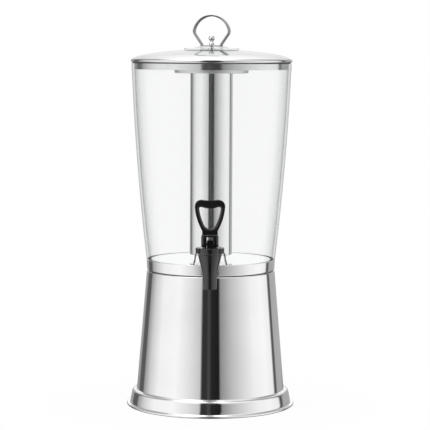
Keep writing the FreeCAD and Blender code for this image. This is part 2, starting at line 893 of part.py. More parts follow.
def loopEye():
    inner = mm("sideBend") - mm("sideBar")
    topCentre = flat(0, mm("eyeTopLevel") + mm("eyeTopBend"))
    side = sideCentre()
    corner = meetLeft(topCentre, mm("eyeTopBend"), side, inner)
    leg = sideEnd(inner)
    slope = math.radians(mm("sideSlopeAngle"))
    apex = leg.z + leg.x / math.tan(slope)
    bottomCentre = flat(0, apex + mm("eyeBottomRadius") / math.sin(slope))
    touch = polar(bottomCentre, mm("eyeBottomRadius"), 180 + mm("sideSlopeAngle"))
    topAngle = math.degrees(math.atan2(corner.z - topCentre.z, corner.x - topCentre.x))
    sideAngle = math.degrees(math.atan2(corner.z - side.z, corner.x - side.x)) % 360
    left = [
        arc(topCentre, mm("eyeTopBend"), 270, topAngle % 360),
        arc(side, inner, sideAngle, 180 + mm("sideSlopeAngle")),
        line(leg, touch),
        arc(bottomCentre, mm("eyeBottomRadius"), 180 + mm("sideSlopeAngle"), 270),
    ]
    return Part.Wire(Part.__sortEdges__(left + mirrored(left)))


def meetLeft(centreA, radiusA, centreB, radiusB):
    # the crossing of two circles that lies to the left of both centres
    gap = centreB - centreA
    reach = gap.Length
    along = (reach ** 2 + radiusA ** 2 - radiusB ** 2) / (2 * reach)
    off = math.sqrt(radiusA ** 2 - along ** 2)
    unit = gap / reach
    base = centreA + unit * along
    side = flat(-unit.z, unit.x)
    return min((base + side * off, base - side * off), key=lambda p: p.z)


def tapHandle():
    depth = mm("loopDepth")
    back = FreeCAD.Vector(0, depth / 2, 0)
    forward = FreeCAD.Vector(0, -depth, 0)
    loop = Part.Face(loopOutside()).extrude(forward)
    eye = Part.Face(loopEye()).extrude(forward)
    loop.translate(back)
    eye.translate(back)
    corners = [e for e in eye.Edges if e.BoundBox.YLength > depth / 2
               and abs(e.CenterOfMass.x) > mm("lobeAcross") and e.CenterOfMass.z > mm("lobeLevel")]
    eye = eye.makeFillet(mm("eyeCorner"), corners)
    rim = [e for e in loop.Edges if isRim(e, depth) and e.BoundBox.ZMax > mm("forkTop")]
    loop = loop.makeChamfer(mm("loopEdge"), rim).cut(eye)
    # fork: two cheeks with a cam foot, over the blade of the stem
    half = mm("forkWidth") / 2
    camCentre = FreeCAD.Vector(-half, -mm("camForward"), mm("camRise"))
    camRadius = mm("pinHeight") + mm("camRise") - mm("camClearance")
    cam = Part.makeCylinder(camRadius, 2 * half, camCentre, FreeCAD.Vector(1, 0, 0))
    block = Part.makeBox(2 * half, mm("forkDepth"), mm("forkTop") - mm("camRise"),
                         FreeCAD.Vector(-half, -mm("forkDepth") / 2, mm("camRise")))
    fork = cam.fuse(block).removeSplitter()
    ends = [e for e in fork.Edges if e.BoundBox.XLength < SAME
            or e.BoundBox.ZMin > mm("forkTop") - SAME]
    fork = fork.makeChamfer(mm("forkEdge"), ends)
    slot = Part.makeBox(mm("slotWidth"), 4 * camRadius, mm("slotTop") + 2 * camRadius,
                        FreeCAD.Vector(-mm("slotWidth") / 2, -2 * camRadius,
                                       -2 * camRadius))
    bore = Part.makeCylinder(mm("pinRadius") + mm("pinFit"), 4 * half,
                             FreeCAD.Vector(-2 * half, 0, 0), FreeCAD.Vector(1, 0, 0))
    lever = loop.fuse(fork).cut(slot.fuse(bore)).removeSplitter()
    handle = doc.addObject("Part::Feature", "tap_handle")
    handle.Label = "tap_handle"
    handle.Shape = lever
    place(handle, y=-size("tapReach"), z=pinLevel())
    parts.append(handle)


def isRim(edge, depth):
    box = edge.BoundBox
    return box.YLength < SAME and abs(abs(box.YMin) - depth / 2) < SAME


# ---- lid

def crownLevel(radius):
    # height of the domed top at a distance from the axis
    bend = size("lidCrownBend")
    rise = Dim("sqrt(%s * %s - %s * %s)" % (bend.text, bend.text, radius.text, radius.text),
               math.sqrt(bend.value ** 2 - radius.value ** 2))
    return size("lidCrown") - bend + rise


def lidSeat():
    return size("wallTop") + size("lidGasketThick")


def tubeTop():
    # the tube slides over the collar of the mouth, up to the dome's underside
    return crownLevel(size("tubeRadius")) - size("lidSheet") - size("tubeFit")


def lidDome():
    # one spun sheet: collar of the mouth, dome, bead and skirt of the plug
    t = size("lidSheet")
    mouth = size("openingRadius")
    wide = size("lidBreakRadius")
    seat = lidSeat()
    collarFoot = crownLevel(mouth) - size("collarDepth")
    return lathe("lid_dome", [
        (mouth, collarFoot),
        (mouth + t, collarFoot),
        (mouth + t, crownLevel(mouth + t) - t, size("lidCrownBend") - t, -1, 2),
        (wide, crownLevel(wide) - t),
        (size("lidEdgeRadius") - t / 2, size("lidEdgeLevel") - t),
        (size("beadRadius") - t, size("beadLevel")),
        (size("beadFootRadius") - t / 2, seat + t),
        (size("skirtRadius") - t, seat + t),
        (size("skirtRadius") - t, size("skirtBottom")),
        (size("skirtRadius"), size("skirtBottom")),
        (size("skirtRadius"), seat),
        (size("beadFootRadius"), seat),
        (size("beadRadius"), size("beadLevel"), size("beadUpperRound"), 1, 2),
        (size("lidEdgeRadius"), size("lidEdgeLevel"), size("lidEdgeBend"), 1, 2),
        (wide, crownLevel(wide), size("lidCrownBend"), 1, 2),
        (mouth, crownLevel(mouth)),
    ])


def lidLiner():
    # flat underside of the plug, between the skirt and the ice tube
    bottom = size("skirtBottom")
    return ring("lid_liner", size("tubeRadius") + size("tubeFit"),
                size("skirtRadius") - size("lidSheet") - size("linerFit"),
                bottom, bottom + size("linerThick"))


def lidGasket():
    inner = size("skirtRadius") + size("gasketFit")
    return ring("lid_gasket", inner, inner + size("lidGasketWidth"),
                size("wallTop"), lidSeat())


def iceTube():
    # tube with a welded end disc, for ice
    radius = size("tubeRadius")
    inside = radius - size("tubeWall")
    bottom = size("tubeBottom")
    floor = bottom + size("tubeEndThick")
    return lathe("ice_tube", [
        (ZERO, bottom),
        (radius - size("tubeEndBevel"), bottom),
        (radius, bottom + size("tubeEndBevel")),
        (radius, tubeTop()),
        (inside, tubeTop()),
        (inside, floor),
        (ZERO, floor),
    ])


def tubeFlange():
    # ring welded to the tube, which holds it up under the lid
    top = size("skirtBottom")
    return ring("tube_flange", size("tubeRadius"), size("tubeFlangeRadius"),
                top - size("tubeFlangeThick"), top)


# ---- fill cap

def brimBottom():
    return crownLevel(size("openingRadius")) + size("brimSeat")


def brimTop():
    return brimBottom() + size("brimThick")


def crownTop():
    return brimTop() + size("crownHeight")


def plugRadius():
    return size("openingRadius") - size("plugClearance")


def fillCap():
    wall = size("capWall")
    hole = size("screwRadius") + size("screwFit")
    plugBottom = crownLevel(plugRadius()) - size("plugDepth")
    ceiling = crownTop() - wall
    edge = size("brimEdge")
    return lathe("fill_cap", [
        (hole, ceiling),
        (hole, crownTop()),
        (size("crownTopRadius"), crownTop(), size("crownBend"), -1, 2),
        (size("crownRadius"), brimTop()),
        (size("brimRadius") - edge, brimTop()),
        (size("brimRadius"), brimTop() - edge),
        (size("brimRadius"), brimBottom()),
        (plugRadius(), brimBottom()),
        (plugRadius(), plugBottom),
        (plugRadius() - wall, plugBottom),
        (plugRadius() - wall, brimBottom()),
        (size("crownTopRadius"), brimBottom()),
        (size("crownTopRadius"), ceiling),
    ])


def strapHandle():
    t = mm("strapThick")
    outer = mm("strapArcRadius")
    centre = flat(0, mm("strapHeight") - outer)
    bend = mm("strapBend")
    spread = mm("strapSpreadAngle")
    slope = mm("strapLegAngle")
    footBend = mm("strapFootBend")
    footX = mm("strapFootHalf")
    bendCentre = polar(centre, outer - bend, 90 - spread)
    legTop = polar(bendCentre, bend, -slope)
    down = flat(-math.sin(math.radians(slope)), -math.cos(math.radians(slope)))
    # the leg runs down to a small outward bend, then stands on the bar
    stretch = (legTop.x - footX - footBend * (1 - math.cos(math.radians(slope))))
    legEnd = legTop + down * (stretch / math.sin(math.radians(slope)))
    footCentre = polar(legEnd, footBend, -slope)
    footTop = polar(footCentre, footBend, 180)
    right = [
        arc(centre, outer, 90, 90 - spread),
        arc(bendCentre, bend, 90 - spread, -slope),
        line(legTop, legEnd),
        arc(footCentre, footBend, 180 - slope, 180),
        line(footTop, flat(footTop.x, 0)),
    ]
    base = line(flat(footTop.x, 0), flat(-footTop.x, 0))
    outside = Part.Wire(Part.__sortEdges__(right + [base] + mirrored(right)))
    loop = Part.Face(outside)
    loop = loop.cut(loop.makeOffset2D(-t))
    strap = loop.extrude(FreeCAD.Vector(0, mm("strapDepth"), 0))
    strap.translate(FreeCAD.Vector(0, -mm("strapDepth") / 2, 0))
    hole = Part.makeCylinder(mm("screwRadius") + mm("screwFit"), 3 * t, flat(0, -t))
    strap = strap.cut(hole)
    piece = doc.addObject("Part::Feature", "strap_handle")
    piece.Label = "strap_handle"
    piece.Shape = strap
    turn = FreeCAD.Rotation(FreeCAD.Vector(0, 0, 1), -mm("strapTurnAngle"))
    piece.Placement = FreeCAD.Placement(FreeCAD.Vector(0, 0, crownTop().value), turn)
    piece.setExpression(".Placement.Base.z", crownTop().text)
    parts.append(piece)


def finialNut():
    foot = crownTop() + size("strapThick")
    bore = size("screwRadius") + size("screwSocketFit")
    ball = size("finialBall")
    centre = foot + size("finialHeight")
    depth = size("screwReach")
    return lathe("finial_nut", [
        (bore, foot),
        (size("finialFoot"), foot),
        (size("finialNeck"), foot + size("finialConeHeight")),
        (ball, centre, ball, 1, 3),
        (ZERO, centre + ball),
        (ZERO, foot + depth),
        (bore, foot + depth),
    ])


def capScrew():
    # flanged screw through the cap into the finial
    headTop = crownTop() - size("capWall")
    tip = crownTop() + size("strapThick") + size("screwReach") - size("screwSocketFit")
    return lathe("cap_screw", [
        (ZERO, headTop - size("screwHeadThick")),
        (size("screwHeadRadius"), headTop - size("screwHeadThick")),
        (size("screwHeadRadius"), headTop),
        (size("screwRadius"), headTop),
        (size("screwRadius"), tip),
        (ZERO, tip),
    ])


for make in (standShell, footRing, seatGasket,
             basePan, containerWall,
             tapBody, tapBonnet, outerWasher, shankNut,
             tapStem, seatCup, returnSpring, tapHandle, pivotPin,
             lidDome, lidGasket, lidLiner, iceTube, tubeFlange,
             fillCap, strapHandle, finialNut, capScrew):
    make()
doc.recompute()

for item in doc.Objects:
    if "Invalid" in item.State or "Error" in item.State:
        raise RuntimeError("%s failed: %s" % (item.Name, item.State))
for piece in parts:
    if piece.Shape.isNull() or not piece.Shape.isValid():
        raise RuntimeError("%s has no valid shape" % piece.Label)
    if not piece.Shape.Solids:
        raise RuntimeError("%s is not a solid" % piece.Label)

os.makedirs("parts", exist_ok=True)
for piece in parts:
    piece.Shape.exportStep("parts/%s.step" % piece.Label)
    print("%-18s %9.1f mm3  %d solid" % (piece.Label, piece.Shape.Volume,
                                         len(piece.Shape.Solids)))
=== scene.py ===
import math

import bmesh
import bpy
from mathutils import Matrix, Vector


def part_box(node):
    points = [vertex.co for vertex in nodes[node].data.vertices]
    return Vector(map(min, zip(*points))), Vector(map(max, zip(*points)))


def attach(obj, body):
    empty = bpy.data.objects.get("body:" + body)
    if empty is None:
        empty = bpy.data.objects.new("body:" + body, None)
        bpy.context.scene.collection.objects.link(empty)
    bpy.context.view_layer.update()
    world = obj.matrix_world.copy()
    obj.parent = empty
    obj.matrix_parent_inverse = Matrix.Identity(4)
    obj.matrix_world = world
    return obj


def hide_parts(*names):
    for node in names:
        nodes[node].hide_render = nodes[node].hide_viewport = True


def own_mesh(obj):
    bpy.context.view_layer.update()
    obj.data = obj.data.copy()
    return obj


# Cold drink dispenser: clear flared container on a polished stand.
# Metres, Z up, the tap faces -Y. The dressed pieces follow the solids they replace.

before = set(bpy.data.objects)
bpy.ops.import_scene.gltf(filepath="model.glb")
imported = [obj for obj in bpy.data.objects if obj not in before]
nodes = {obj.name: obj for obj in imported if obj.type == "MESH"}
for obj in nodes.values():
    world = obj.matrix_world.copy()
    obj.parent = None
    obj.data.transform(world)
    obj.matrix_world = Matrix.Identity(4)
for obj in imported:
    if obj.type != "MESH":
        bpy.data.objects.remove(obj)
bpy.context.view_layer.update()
scene = bpy.context.scene
scene.view_settings.view_transform = "Standard"
print("frame loaded,", len(nodes), "nodes")


# mesh helpers

meshSizes = {
    "hold": 0.0004,  # from a bend to the point that holds a straight run
    "longest": 0.02,  # between two points of a straight run
    "bendShare": 0.998,  # of a run, for the bends at its two ends
    "straight": 1e-4,  # a turn under this, in radians, gets no bend
    "weld": 1e-6,  # points nearer than this become one
    "onAxis": 1e-7,  # a radius under this is on the axis
}


def turnBetween(before, here, after):
    # directions out of a corner and the angle that the path turns there
    back = (before - here).normalized()
    ahead = (after - here).normalized()
    return back, ahead, math.pi - back.angle(ahead)


def softPath(corners, closed=True, arcStep=math.radians(5), hold=meshSizes["hold"]):
    # corners are (r, z, bend). Each bend becomes an arc, and straight runs get
    # points near their ends, so that smooth shading stays true on them.
    spots = [Vector(corner[:2]) for corner in corners]
    count = len(spots)
    reach = [0.0] * count
    turns = [None] * count
    for i, corner in enumerate(corners):
        if corner[2] > 0 and (closed or 0 < i < count - 1):
            turns[i] = turnBetween(spots[i - 1], spots[i], spots[(i + 1) % count])
            reach[i] = corner[2] * math.tan(turns[i][2] / 2)
    keep = [1.0] * count
    for i in range(count if closed else count - 1):
        j = (i + 1) % count
        room = (spots[j] - spots[i]).length * meshSizes["bendShare"]
        wanted = reach[i] + reach[j]
        if wanted > room:
            keep[i] = min(keep[i], room / wanted)
            keep[j] = min(keep[j], room / wanted)
    path = []
    for i, spot in enumerate(spots):
        if not turns[i] or turns[i][2] < meshSizes["straight"]:
            path.append(spot)
            continue
        back, ahead, turning = turns[i]
        bend = corners[i][2] * keep[i]
        centre = spot + (back + ahead).normalized() * (bend / math.cos(turning / 2))
        start = spot + back * (reach[i] * keep[i]) - centre
        side = 1 if back.x * ahead.y - back.y * ahead.x < 0 else -1
        steps = max(2, math.ceil(turning / arcStep))
        for k in range(steps + 1):
            swing = Matrix.Rotation(side * turning * k / steps, 2)
            path.append(centre + swing @ start)
    return holdStraights(path, closed, hold)


def holdStraights(path, closed, hold):
    # adds points near the ends of each straight run and, on a long one, between
    full = []
    for i, spot in enumerate(path):
        full.append(spot)
        if i == len(path) - 1 and not closed:
            break
        after = path[(i + 1) % len(path)]
        length = (after - spot).length
        if length < hold * 4:
            continue
        run = (after - spot) / length
        middle = length - 2 * hold
        inner = max(1, math.ceil(middle / meshSizes["longest"]))
        full += [spot + run * (hold + middle * k / inner) for k in range(inner + 1)]
    return full


def sheetPath(path, thick):
    # closes an open path into a sheet that lies to its right
    inner = []
    for i, spot in enumerate(path):
        ahead = path[min(i + 1, len(path) - 1)] - path[max(i - 1, 0)]
        right = Vector((ahead.y, -ahead.x)).normalized()
        inner.append(spot + right * thick)
    return path + inner[::-1]


def arcPath(centre, radius, first, last, steps):
    # points of an arc about centre, angles in degrees from the +r direction
    angles = [math.radians(first + (last - first) * k / steps) for k in range(steps + 1)]
    return [Vector((centre[0] + radius * math.cos(a), centre[1] + radius * math.sin(a)))
            for a in angles]


def mirrorHalf(half):
    # adds the mirror image, with the points on the middle line only once
    beside = [p for p in half if abs(p.x) > meshSizes["onAxis"]]
    return half + [Vector((-p.x, p.y)) for p in reversed(beside)]


def addLathe(bm, path, segments=160, shape=None, azimuths=None, place=None):
    # turns a closed (r, z) path about Z, azimuth 0 at -Y; shape(azimuth, r, z)
    # gives the radius there, and place moves the turned part
    azimuths = azimuths or [2 * math.pi * k / segments for k in range(segments)]
    place = place or Matrix()
    rings = []
    for spot in path:
        if spot.x < meshSizes["onAxis"]:
            rings.append([bm.verts.new(place @ Vector((0, 0, spot.y)))])
            continue
        ring = []
        for azimuth in azimuths:
            r = shape(azimuth, spot.x, spot.y) if shape else spot.x
            point = Vector((r * math.sin(azimuth), -r * math.cos(azimuth), spot.y))
            ring.append(bm.verts.new(place @ point))
        rings.append(ring)
    count = len(azimuths)
    for lower, upper in zip(rings, rings[1:] + rings[:1]):
        for k in range(count):
            j = (k + 1) % count
            if len(lower) > 1 and len(upper) > 1:
                bm.faces.new((lower[k], lower[j], upper[j], upper[k]))
            elif len(lower) > 1:
                bm.faces.new((lower[k], lower[j], upper[0]))
            elif len(upper) > 1:
                bm.faces.new((lower[0], upper[j], upper[k]))


def finishPiece(name, bm, material, body, replaced, crease=32):
    # one closed mesh with its normals outwards
    bmesh.ops.remove_doubles(bm, verts=bm.verts, dist=meshSizes["weld"])
    bmesh.ops.recalc_face_normals(bm, faces=bm.faces)
    mesh = bpy.data.meshes.new(name)
    bm.to_mesh(mesh)
    bm.free()
    return dressPiece(name, mesh, material, body, replaced, crease)


def dressPiece(name, mesh, material, body, replaced, crease=32):
    # rides on its body in place of the replaced nodes; smooth below crease degrees
    piece = bpy.data.objects.new(name, mesh)
    scene.collection.objects.link(piece)
    mesh.shade_smooth()
    mesh.set_sharp_from_angle(angle=math.radians(crease))
    mesh.materials.clear()
    mesh.materials.append(material)
    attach(piece, body)
    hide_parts(*replaced)
    return piece


def lathePiece(name, path, material, body, slot, replaced, **options):
    bm = bmesh.new()
    addLathe(bm, path, **options)
    return finishPiece(name, bm, material, body, replaced)


# materials

class NodeDesk:
    # the node tree of a material or a world, with short calls to add and join nodes
    def __init__(self, owner, output="ShaderNodeOutputMaterial", coords="Object"):
        self.owner = owner
        owner.use_nodes = True
        self.tree = owner.node_tree
        self.tree.nodes.clear()
        self.output = self.add(output)
        self.coords = self.add("ShaderNodeTexCoord").outputs[coords]

    def add(self, kind, **settings):
        node = self.tree.nodes.new(kind)
        for key, value in settings.items():
            setattr(node, key, value)
        return node

    def join(self, source, target):
        self.tree.links.new(source, target)

    def places(self):
        # X, Y and Z of the coordinates
        node = self.add("ShaderNodeSeparateXYZ")
        self.join(self.coords, node.inputs[0])
        return node.outputs

    def math(self, operation, first, second):
        node = self.add("ShaderNodeMath", operation=operation)
        for socket, value in zip(node.inputs, (first, second)):
            if hasattr(value, "node"):
                self.join(value, socket)
            else:
                socket.default_value = value
        return node.outputs[0]

    def noise(self, vector, scale, detail=2.0, rough=0.5):
        node = self.add("ShaderNodeTexNoise")
        node.inputs["Scale"].default_value = scale
        node.inputs["Detail"].default_value = detail
        node.inputs["Roughness"].default_value = rough
        self.join(vector, node.inputs["Vector"])
        return node.outputs["Fac"]

    def spread(self, source, low, high, fromLow=0.3, fromHigh=0.7):
        # the source's range, for noise its usual one, becomes low to high
        node = self.add("ShaderNodeMapRange")
        self.join(source, node.inputs["Value"])
        for key, value in (("From Min", fromLow), ("From Max", fromHigh),
                           ("To Min", low), ("To Max", high)):
            node.inputs[key].default_value = value
        return node.outputs["Result"]

    def blend(self, factor, first, second):
        node = self.add("ShaderNodeMix", data_type="RGBA")
        self.join(factor, node.inputs["Factor"])
        for socket, colour in ((node.inputs["A"], first), (node.inputs["B"], second)):
            if hasattr(colour, "node"):
                self.join(colour, socket)
            else:
                socket.default_value = (*colour, 1)
        return node.outputs["Result"]

    def bump(self, height, strength, distance):
        node = self.add("ShaderNodeBump")
        node.inputs["Strength"].default_value = strength
        node.inputs["Distance"].default_value = distance
        self.join(height, node.inputs["Height"])
        return node.outputs["Normal"]

    def mixed(self, share, first, second):
        # the first shader, and by its share the second
        node = self.add("ShaderNodeMixShader")
        for socket, source in zip(node.inputs, (share, first, second)):
            self.join(source, socket)
        return node.outputs[0]

    def finished(self, shader):
        self.join(shader, self.output.inputs["Surface"])
        return self.owner

    def turned(self):
        # (distance from the Z axis, height) for marks that run round the piece
        flat = self.add("ShaderNodeVectorMath", operation="MULTIPLY")
        flat.inputs[1].default_value = (1, 1, 0)
        self.join(self.coords, flat.inputs[0])
        length = self.add("ShaderNodeVectorMath", operation="LENGTH")
        self.join(flat.outputs[0], length.inputs[0])
        pack = self.add("ShaderNodeCombineXYZ")
        self.join(length.outputs["Value"], pack.inputs["X"])
        self.join(self.places()["Z"], pack.inputs["Y"])
        return pack.outputs[0]


steelLook = {
    "colour": (0.95, 0.95, 0.953),
    "dull": (0.90, 0.902, 0.908),
    "roughClean": 0.035,
    "roughSmudged": 0.075,
    "smudgeScale": 14.0,
    "smudgeDetail": 4.0,
    "smudgeRough": 0.6,
    "fineScale": 126.0,
    "fineShare": 0.6,  # least part of a smudge that the fine grain leaves
    "spinScale": 900.0,
    "spinStrength": 0.05,
    "spinDepth": 0.00002,
}


def makeSteel(name, look, turned=True):
    # smudged steel, its fine lines round the Z axis where it is turned
    desk = NodeDesk(bpy.data.materials.new(name))
    shader = desk.add("ShaderNodeBsdfPrincipled")
    shader.inputs["Metallic"].default_value = 1.0
    smudge = desk.noise(desk.coords, look["smudgeScale"], look["smudgeDetail"],
                        look["smudgeRough"])
    fine = desk.noise(desk.coords, look["fineScale"])
    colour = desk.blend(desk.spread(smudge, 0, 1), look["colour"], look["dull"])
    if "paintedShadeColour" in look:
        # painted shade: greyer from one level to another, and above it, where the top reflects
        # less light
        above = desk.spread(desk.places()["Z"], 0, 1, *look["paintedShadeLevels"])
        colour = desk.blend(above, colour, look["paintedShadeColour"])
    desk.join(colour, shader.inputs["Base Color"])
    worn = desk.math("MULTIPLY", desk.spread(smudge, 0, 1),
                     desk.spread(fine, look["fineShare"], 1))
    desk.join(desk.spread(worn, look["roughClean"], look["roughSmudged"], 0, 1),
              shader.inputs["Roughness"])
    lines = desk.noise(desk.turned() if turned else desk.coords, look["spinScale"])
    desk.join(desk.bump(lines, look["spinStrength"], look["spinDepth"]),
              shader.inputs["Normal"])
    return desk.finished(shader.outputs[0])


clearLook = {
    "facing": (0.996, 0.997, 0.997),
    # painted shade at grazing, for the thick wall's refraction
    "edge": (0.66, 0.675, 0.68),
    "edgeShadePower": 7.0,
    # painted shade on the arch's turned edges
    "corner": (0.20, 0.21, 0.215),
    "haze": 0.024,
    "hazeVaries": 0.2,
    "hazeColour": (0.86, 0.865, 0.87),
    "gloss": (0.97, 0.98, 0.98),
    "headOn": 0.02,
    "grazing": 0.55,
    "grazePower": 5.0,
    "roughLow": 0.02,
    "roughHigh": 0.04,
    "dustScale": 60.0,  # times the ripple's
    "rippleScale": 9.0,
    "rippleStrength": 0.10,
    "rippleDepth": 0.0012,
}


def makeClear(name, look):
    # clear plastic wall: see-through head on, shinier at its edges, and greyer there and on the
    # arch's marked corners by painted shade
    desk = NodeDesk(bpy.data.materials.new(name))
    ripple = desk.noise(desk.coords, look["rippleScale"])
    dust = desk.noise(desk.coords, look["rippleScale"] * look["dustScale"])
    normal = desk.bump(ripple, look["rippleStrength"], look["rippleDepth"])
    weight = desk.add("ShaderNodeLayerWeight")
    weight.inputs["Blend"].default_value = 0.5
    desk.join(normal, weight.inputs["Normal"])
    through = desk.add("ShaderNodeBsdfTransparent")
    # painted shade: the see-through colour greys towards grazing, standing in for the thick
    # wall's refraction
    grazed = desk.math("POWER", weight.outputs["Facing"], look["edgeShadePower"])
    # painted shade: the marked corners turn the see-through colour dark grey
    corner = desk.add("ShaderNodeAttribute", attribute_name="corner").outputs["Fac"]
    plain = desk.blend(grazed, look["facing"], look["edge"])
    desk.join(desk.blend(corner, plain, look["corner"]), through.inputs["Color"])
    gloss = desk.add("ShaderNodeBsdfPrincipled")
    gloss.inputs["Metallic"].default_value = 1.0
    gloss.inputs["Base Color"].default_value = (*look["gloss"], 1)
    desk.join(desk.spread(dust, look["roughLow"], look["roughHigh"]),
              gloss.inputs["Roughness"])
    desk.join(normal, gloss.inputs["Normal"])
    # the mirrored share rises from head on to grazing, from either side
    graze = desk.math("POWER", weight.outputs["Facing"], look["grazePower"])
    share = desk.spread(graze, look["headOn"], look["grazing"], 0.0, 1.0)
    shown = desk.mixed(share, through.outputs[0], gloss.outputs[0])
    # fine scratches and dust scatter a little light
    scattered = desk.add("ShaderNodeBsdfDiffuse")
    scattered.inputs["Color"].default_value = (*look["hazeColour"], 1)
    least, most = (look["haze"] * (1 + side * look["hazeVaries"]) for side in (-1, 1))
    hazy = desk.spread(dust, least, most)
    return desk.finished(desk.mixed(hazy, shown, scattered.outputs[0]))


plasticLook = {
    "colour": (0.007, 0.007, 0.0075),
    "worn": (0.013, 0.013, 0.0135),
    "ior": 1.72,
    "roughLow": 0.13,
    "roughHigh": 0.21,
    "patchScale": 60.0,
    "patchDetail": 4.0,
    "grainScale": 1400.0,
    "grainDetail": 2.0,
    "grainStrength": 0.12,
    "grainDepth": 0.00003,
}
rubberLook = {
    "colour": (0.035, 0.035, 0.037),
    "worn": (0.07, 0.07, 0.072),
    "ior": 1.5,
    "roughLow": 0.62,
    "roughHigh": 0.77,
    "patchScale": 90.0,
    "patchDetail": 5.0,
    "grainScale": 2500.0,
    "grainDetail": 3.0,
    "grainStrength": 0.2,
    "grainDepth": 0.00004,
}


def makeMoulded(name, look):
    # plastic, rubber or silicone: a little worn in patches, with a fine grain
    desk = NodeDesk(bpy.data.materials.new(name))
    shader = desk.add("ShaderNodeBsdfPrincipled")
    shader.inputs["IOR"].default_value = look["ior"]
    patch = desk.noise(desk.coords, look["patchScale"], look["patchDetail"])
    grain = desk.noise(desk.coords, look["grainScale"], look["grainDetail"])
    desk.join(desk.blend(desk.spread(patch, 0, 1), look["colour"], look["worn"]),
              shader.inputs["Base Color"])
    desk.join(desk.spread(patch, look["roughLow"], look["roughHigh"]),
              shader.inputs["Roughness"])
    desk.join(desk.bump(grain, look["grainStrength"], look["grainDepth"]),
              shader.inputs["Normal"])
    return desk.finished(shader.outputs[0])


# the lid's dome above its shoulder is darkened by painted shade
lidLook = dict(
    steelLook, colour=(0.84, 0.84, 0.845), dull=(0.78, 0.782, 0.788),
    paintedShadeColour=(0.45, 0.45, 0.455), paintedShadeLevels=(0.4845, 0.4865),
    roughClean=0.11, roughSmudged=0.15)
drawnLook = dict(
    steelLook, colour=(0.36, 0.36, 0.365), dull=(0.30, 0.30, 0.31),
    roughClean=0.10, roughSmudged=0.16, spinScale=500.0)
# the strap's top arc is darkened by painted shade
strapLook = dict(
    drawnLook, colour=(0.55, 0.55, 0.555), dull=(0.47, 0.47, 0.48),
    paintedShadeColour=(0.15, 0.15, 0.155), paintedShadeLevels=(0.5370, 0.5425))
satinLook = dict(
    steelLook, colour=(0.90, 0.90, 0.905), dull=(0.82, 0.82, 0.83),
    roughClean=0.40, roughSmudged=0.48)
# the cap's clear plastic, with a greyer painted edge shade
capLook = dict(
    clearLook, facing=(0.955, 0.96, 0.962), edge=(0.55, 0.565, 0.57), rippleScale=40.0)
paleLook = dict(
    rubberLook, colour=(0.72, 0.72, 0.70), worn=(0.80, 0.80, 0.79),
    roughLow=0.48, roughHigh=0.63)

polishedSteel = makeSteel("polishedSteel", steelLook)
lidSteel = makeSteel("lidSteel", lidLook)
drawnSteel = makeSteel("drawnSteel", drawnLook, turned=False)
strapSteel = makeSteel("strapSteel", strapLook, turned=False)
satinSteel = makeSteel("satinSteel", satinLook)
clearWallPlastic = makeClear("clearWallPlastic", clearLook)
clearCapPlastic = makeClear("clearCapPlastic", capLook)
blackPlastic = makeMoulded("blackPlastic", plasticLook)
darkRubber = makeMoulded("darkRubber", rubberLook)
paleSilicone = makeMoulded("paleSilicone", paleLook)
print("materials made")


# stand

standSizes = {
    "sheet": 0.0012,
    "outline": (  # radius, level, bend; from the ledge inside the top down to the lip
        (0.0753, 0.1897, 0.0),
        (0.0896, 0.1897, 0.0015),
        (0.1033, 0.0232, 0.0007),
        (0.1058, 0.0223, 0.0007),
        (0.1094, 0.0221, 0.0052),
        (0.1123, 0.0070, 0.0200),
        (0.1123, 0.0034, 0.0022),
        (0.1175, 0.0034, 0.00144),
        (0.1175, 0.0005, 0.00144),
        (0.1150, 0.0005, 0.0),
    ),
}
standPath = sheetPath(softPath(standSizes["outline"], closed=False), standSizes["sheet"])
lathePiece("standSkin", standPath, polishedSteel, "stand", "polished_steel",
           ["stand_shell"], segments=256)


# container

panSizes = {
    "outline": (  # from the floor's middle over the channel to the underside
        (0.0, 0.2056, 0.0),
        (0.0840, 0.2056, 0.0007),
        (0.0840, 0.1922, 0.0004),
        (0.0881, 0.1922, 0.0004),
        (0.0881, 0.2058, 0.0004),
        (0.0900, 0.2058, 0.0007),
        (0.0893, 0.1907, 0.0017),
        (0.0828, 0.1907, 0.0004),
        (0.0828, 0.2044, 0.0004),
        (0.0, 0.2044, 0.0),
    ),
}
lathePiece("panSkin", softPath(panSizes["outline"]), polishedSteel, "container",
           "polished_steel", ["base_pan"], segments=256)

wallSizes = {
    "thick": 0.0036,
    "footOuter": 0.0879,
    "footInner": 0.0845,
    "footLevel": 0.1922,
    "stepLevel": 0.2059,
    "stepRadius": 0.0901,
    "rimRadius": 0.1113,
    "rimLevel": 0.4791,
    "rimBend": 0.0009,
    "underStep": 0.0001,  # the foot's straight part ends this far under the step
    "bulge": 0.00270,
    "frontCosine": 0.9,  # the boss lies nearer the front than this
    "edgeShadeFront": 0.0800,  # and its marked corners are this far forward
    "bossFace": 0.0955,
    "bossInner": 0.0840,
    "archRadius": 0.0215,
    "archLevel": 0.2145,
    "footHalf": 0.0238,
    "bossEdge": 0.0032,
    "bossEdgeShare": 0.15,  # of the soft edge, outside the arch's line
    "bossTop": 0.2380,
    "fineStep": 0.0006,
    "coarseStep": 0.0070,
    "firstColumn": -17.0,
    "columnStep": 0.3,
    "archColumns": 114,
    "otherColumns": 164,
}


def wallRadius(level):
    sizes = wallSizes
    t = (level - sizes["stepLevel"]) / (sizes["rimLevel"] - sizes["stepLevel"])
    straight = sizes["stepRadius"] + (sizes["rimRadius"] - sizes["stepRadius"]) * t
    return straight + 4 * sizes["bulge"] * t * (1 - t)


def inArch(across, level):
    # 0 outside the arch for the tap, 1 inside, with a soft edge
    sizes = wallSizes
    if level > sizes["archLevel"]:
        depth = sizes["archRadius"] - math.hypot(across, level - sizes["archLevel"])
    else:
        drop = (sizes["archLevel"] - level) / (sizes["archLevel"] - sizes["stepLevel"])
        half = sizes["archRadius"] + (sizes["footHalf"] - sizes["archRadius"]) * drop
        depth = half - abs(across)
    soft = min(max(depth / sizes["bossEdge"] + sizes["bossEdgeShare"], 0.0), 1.0)
    return soft * soft * (3 - 2 * soft)


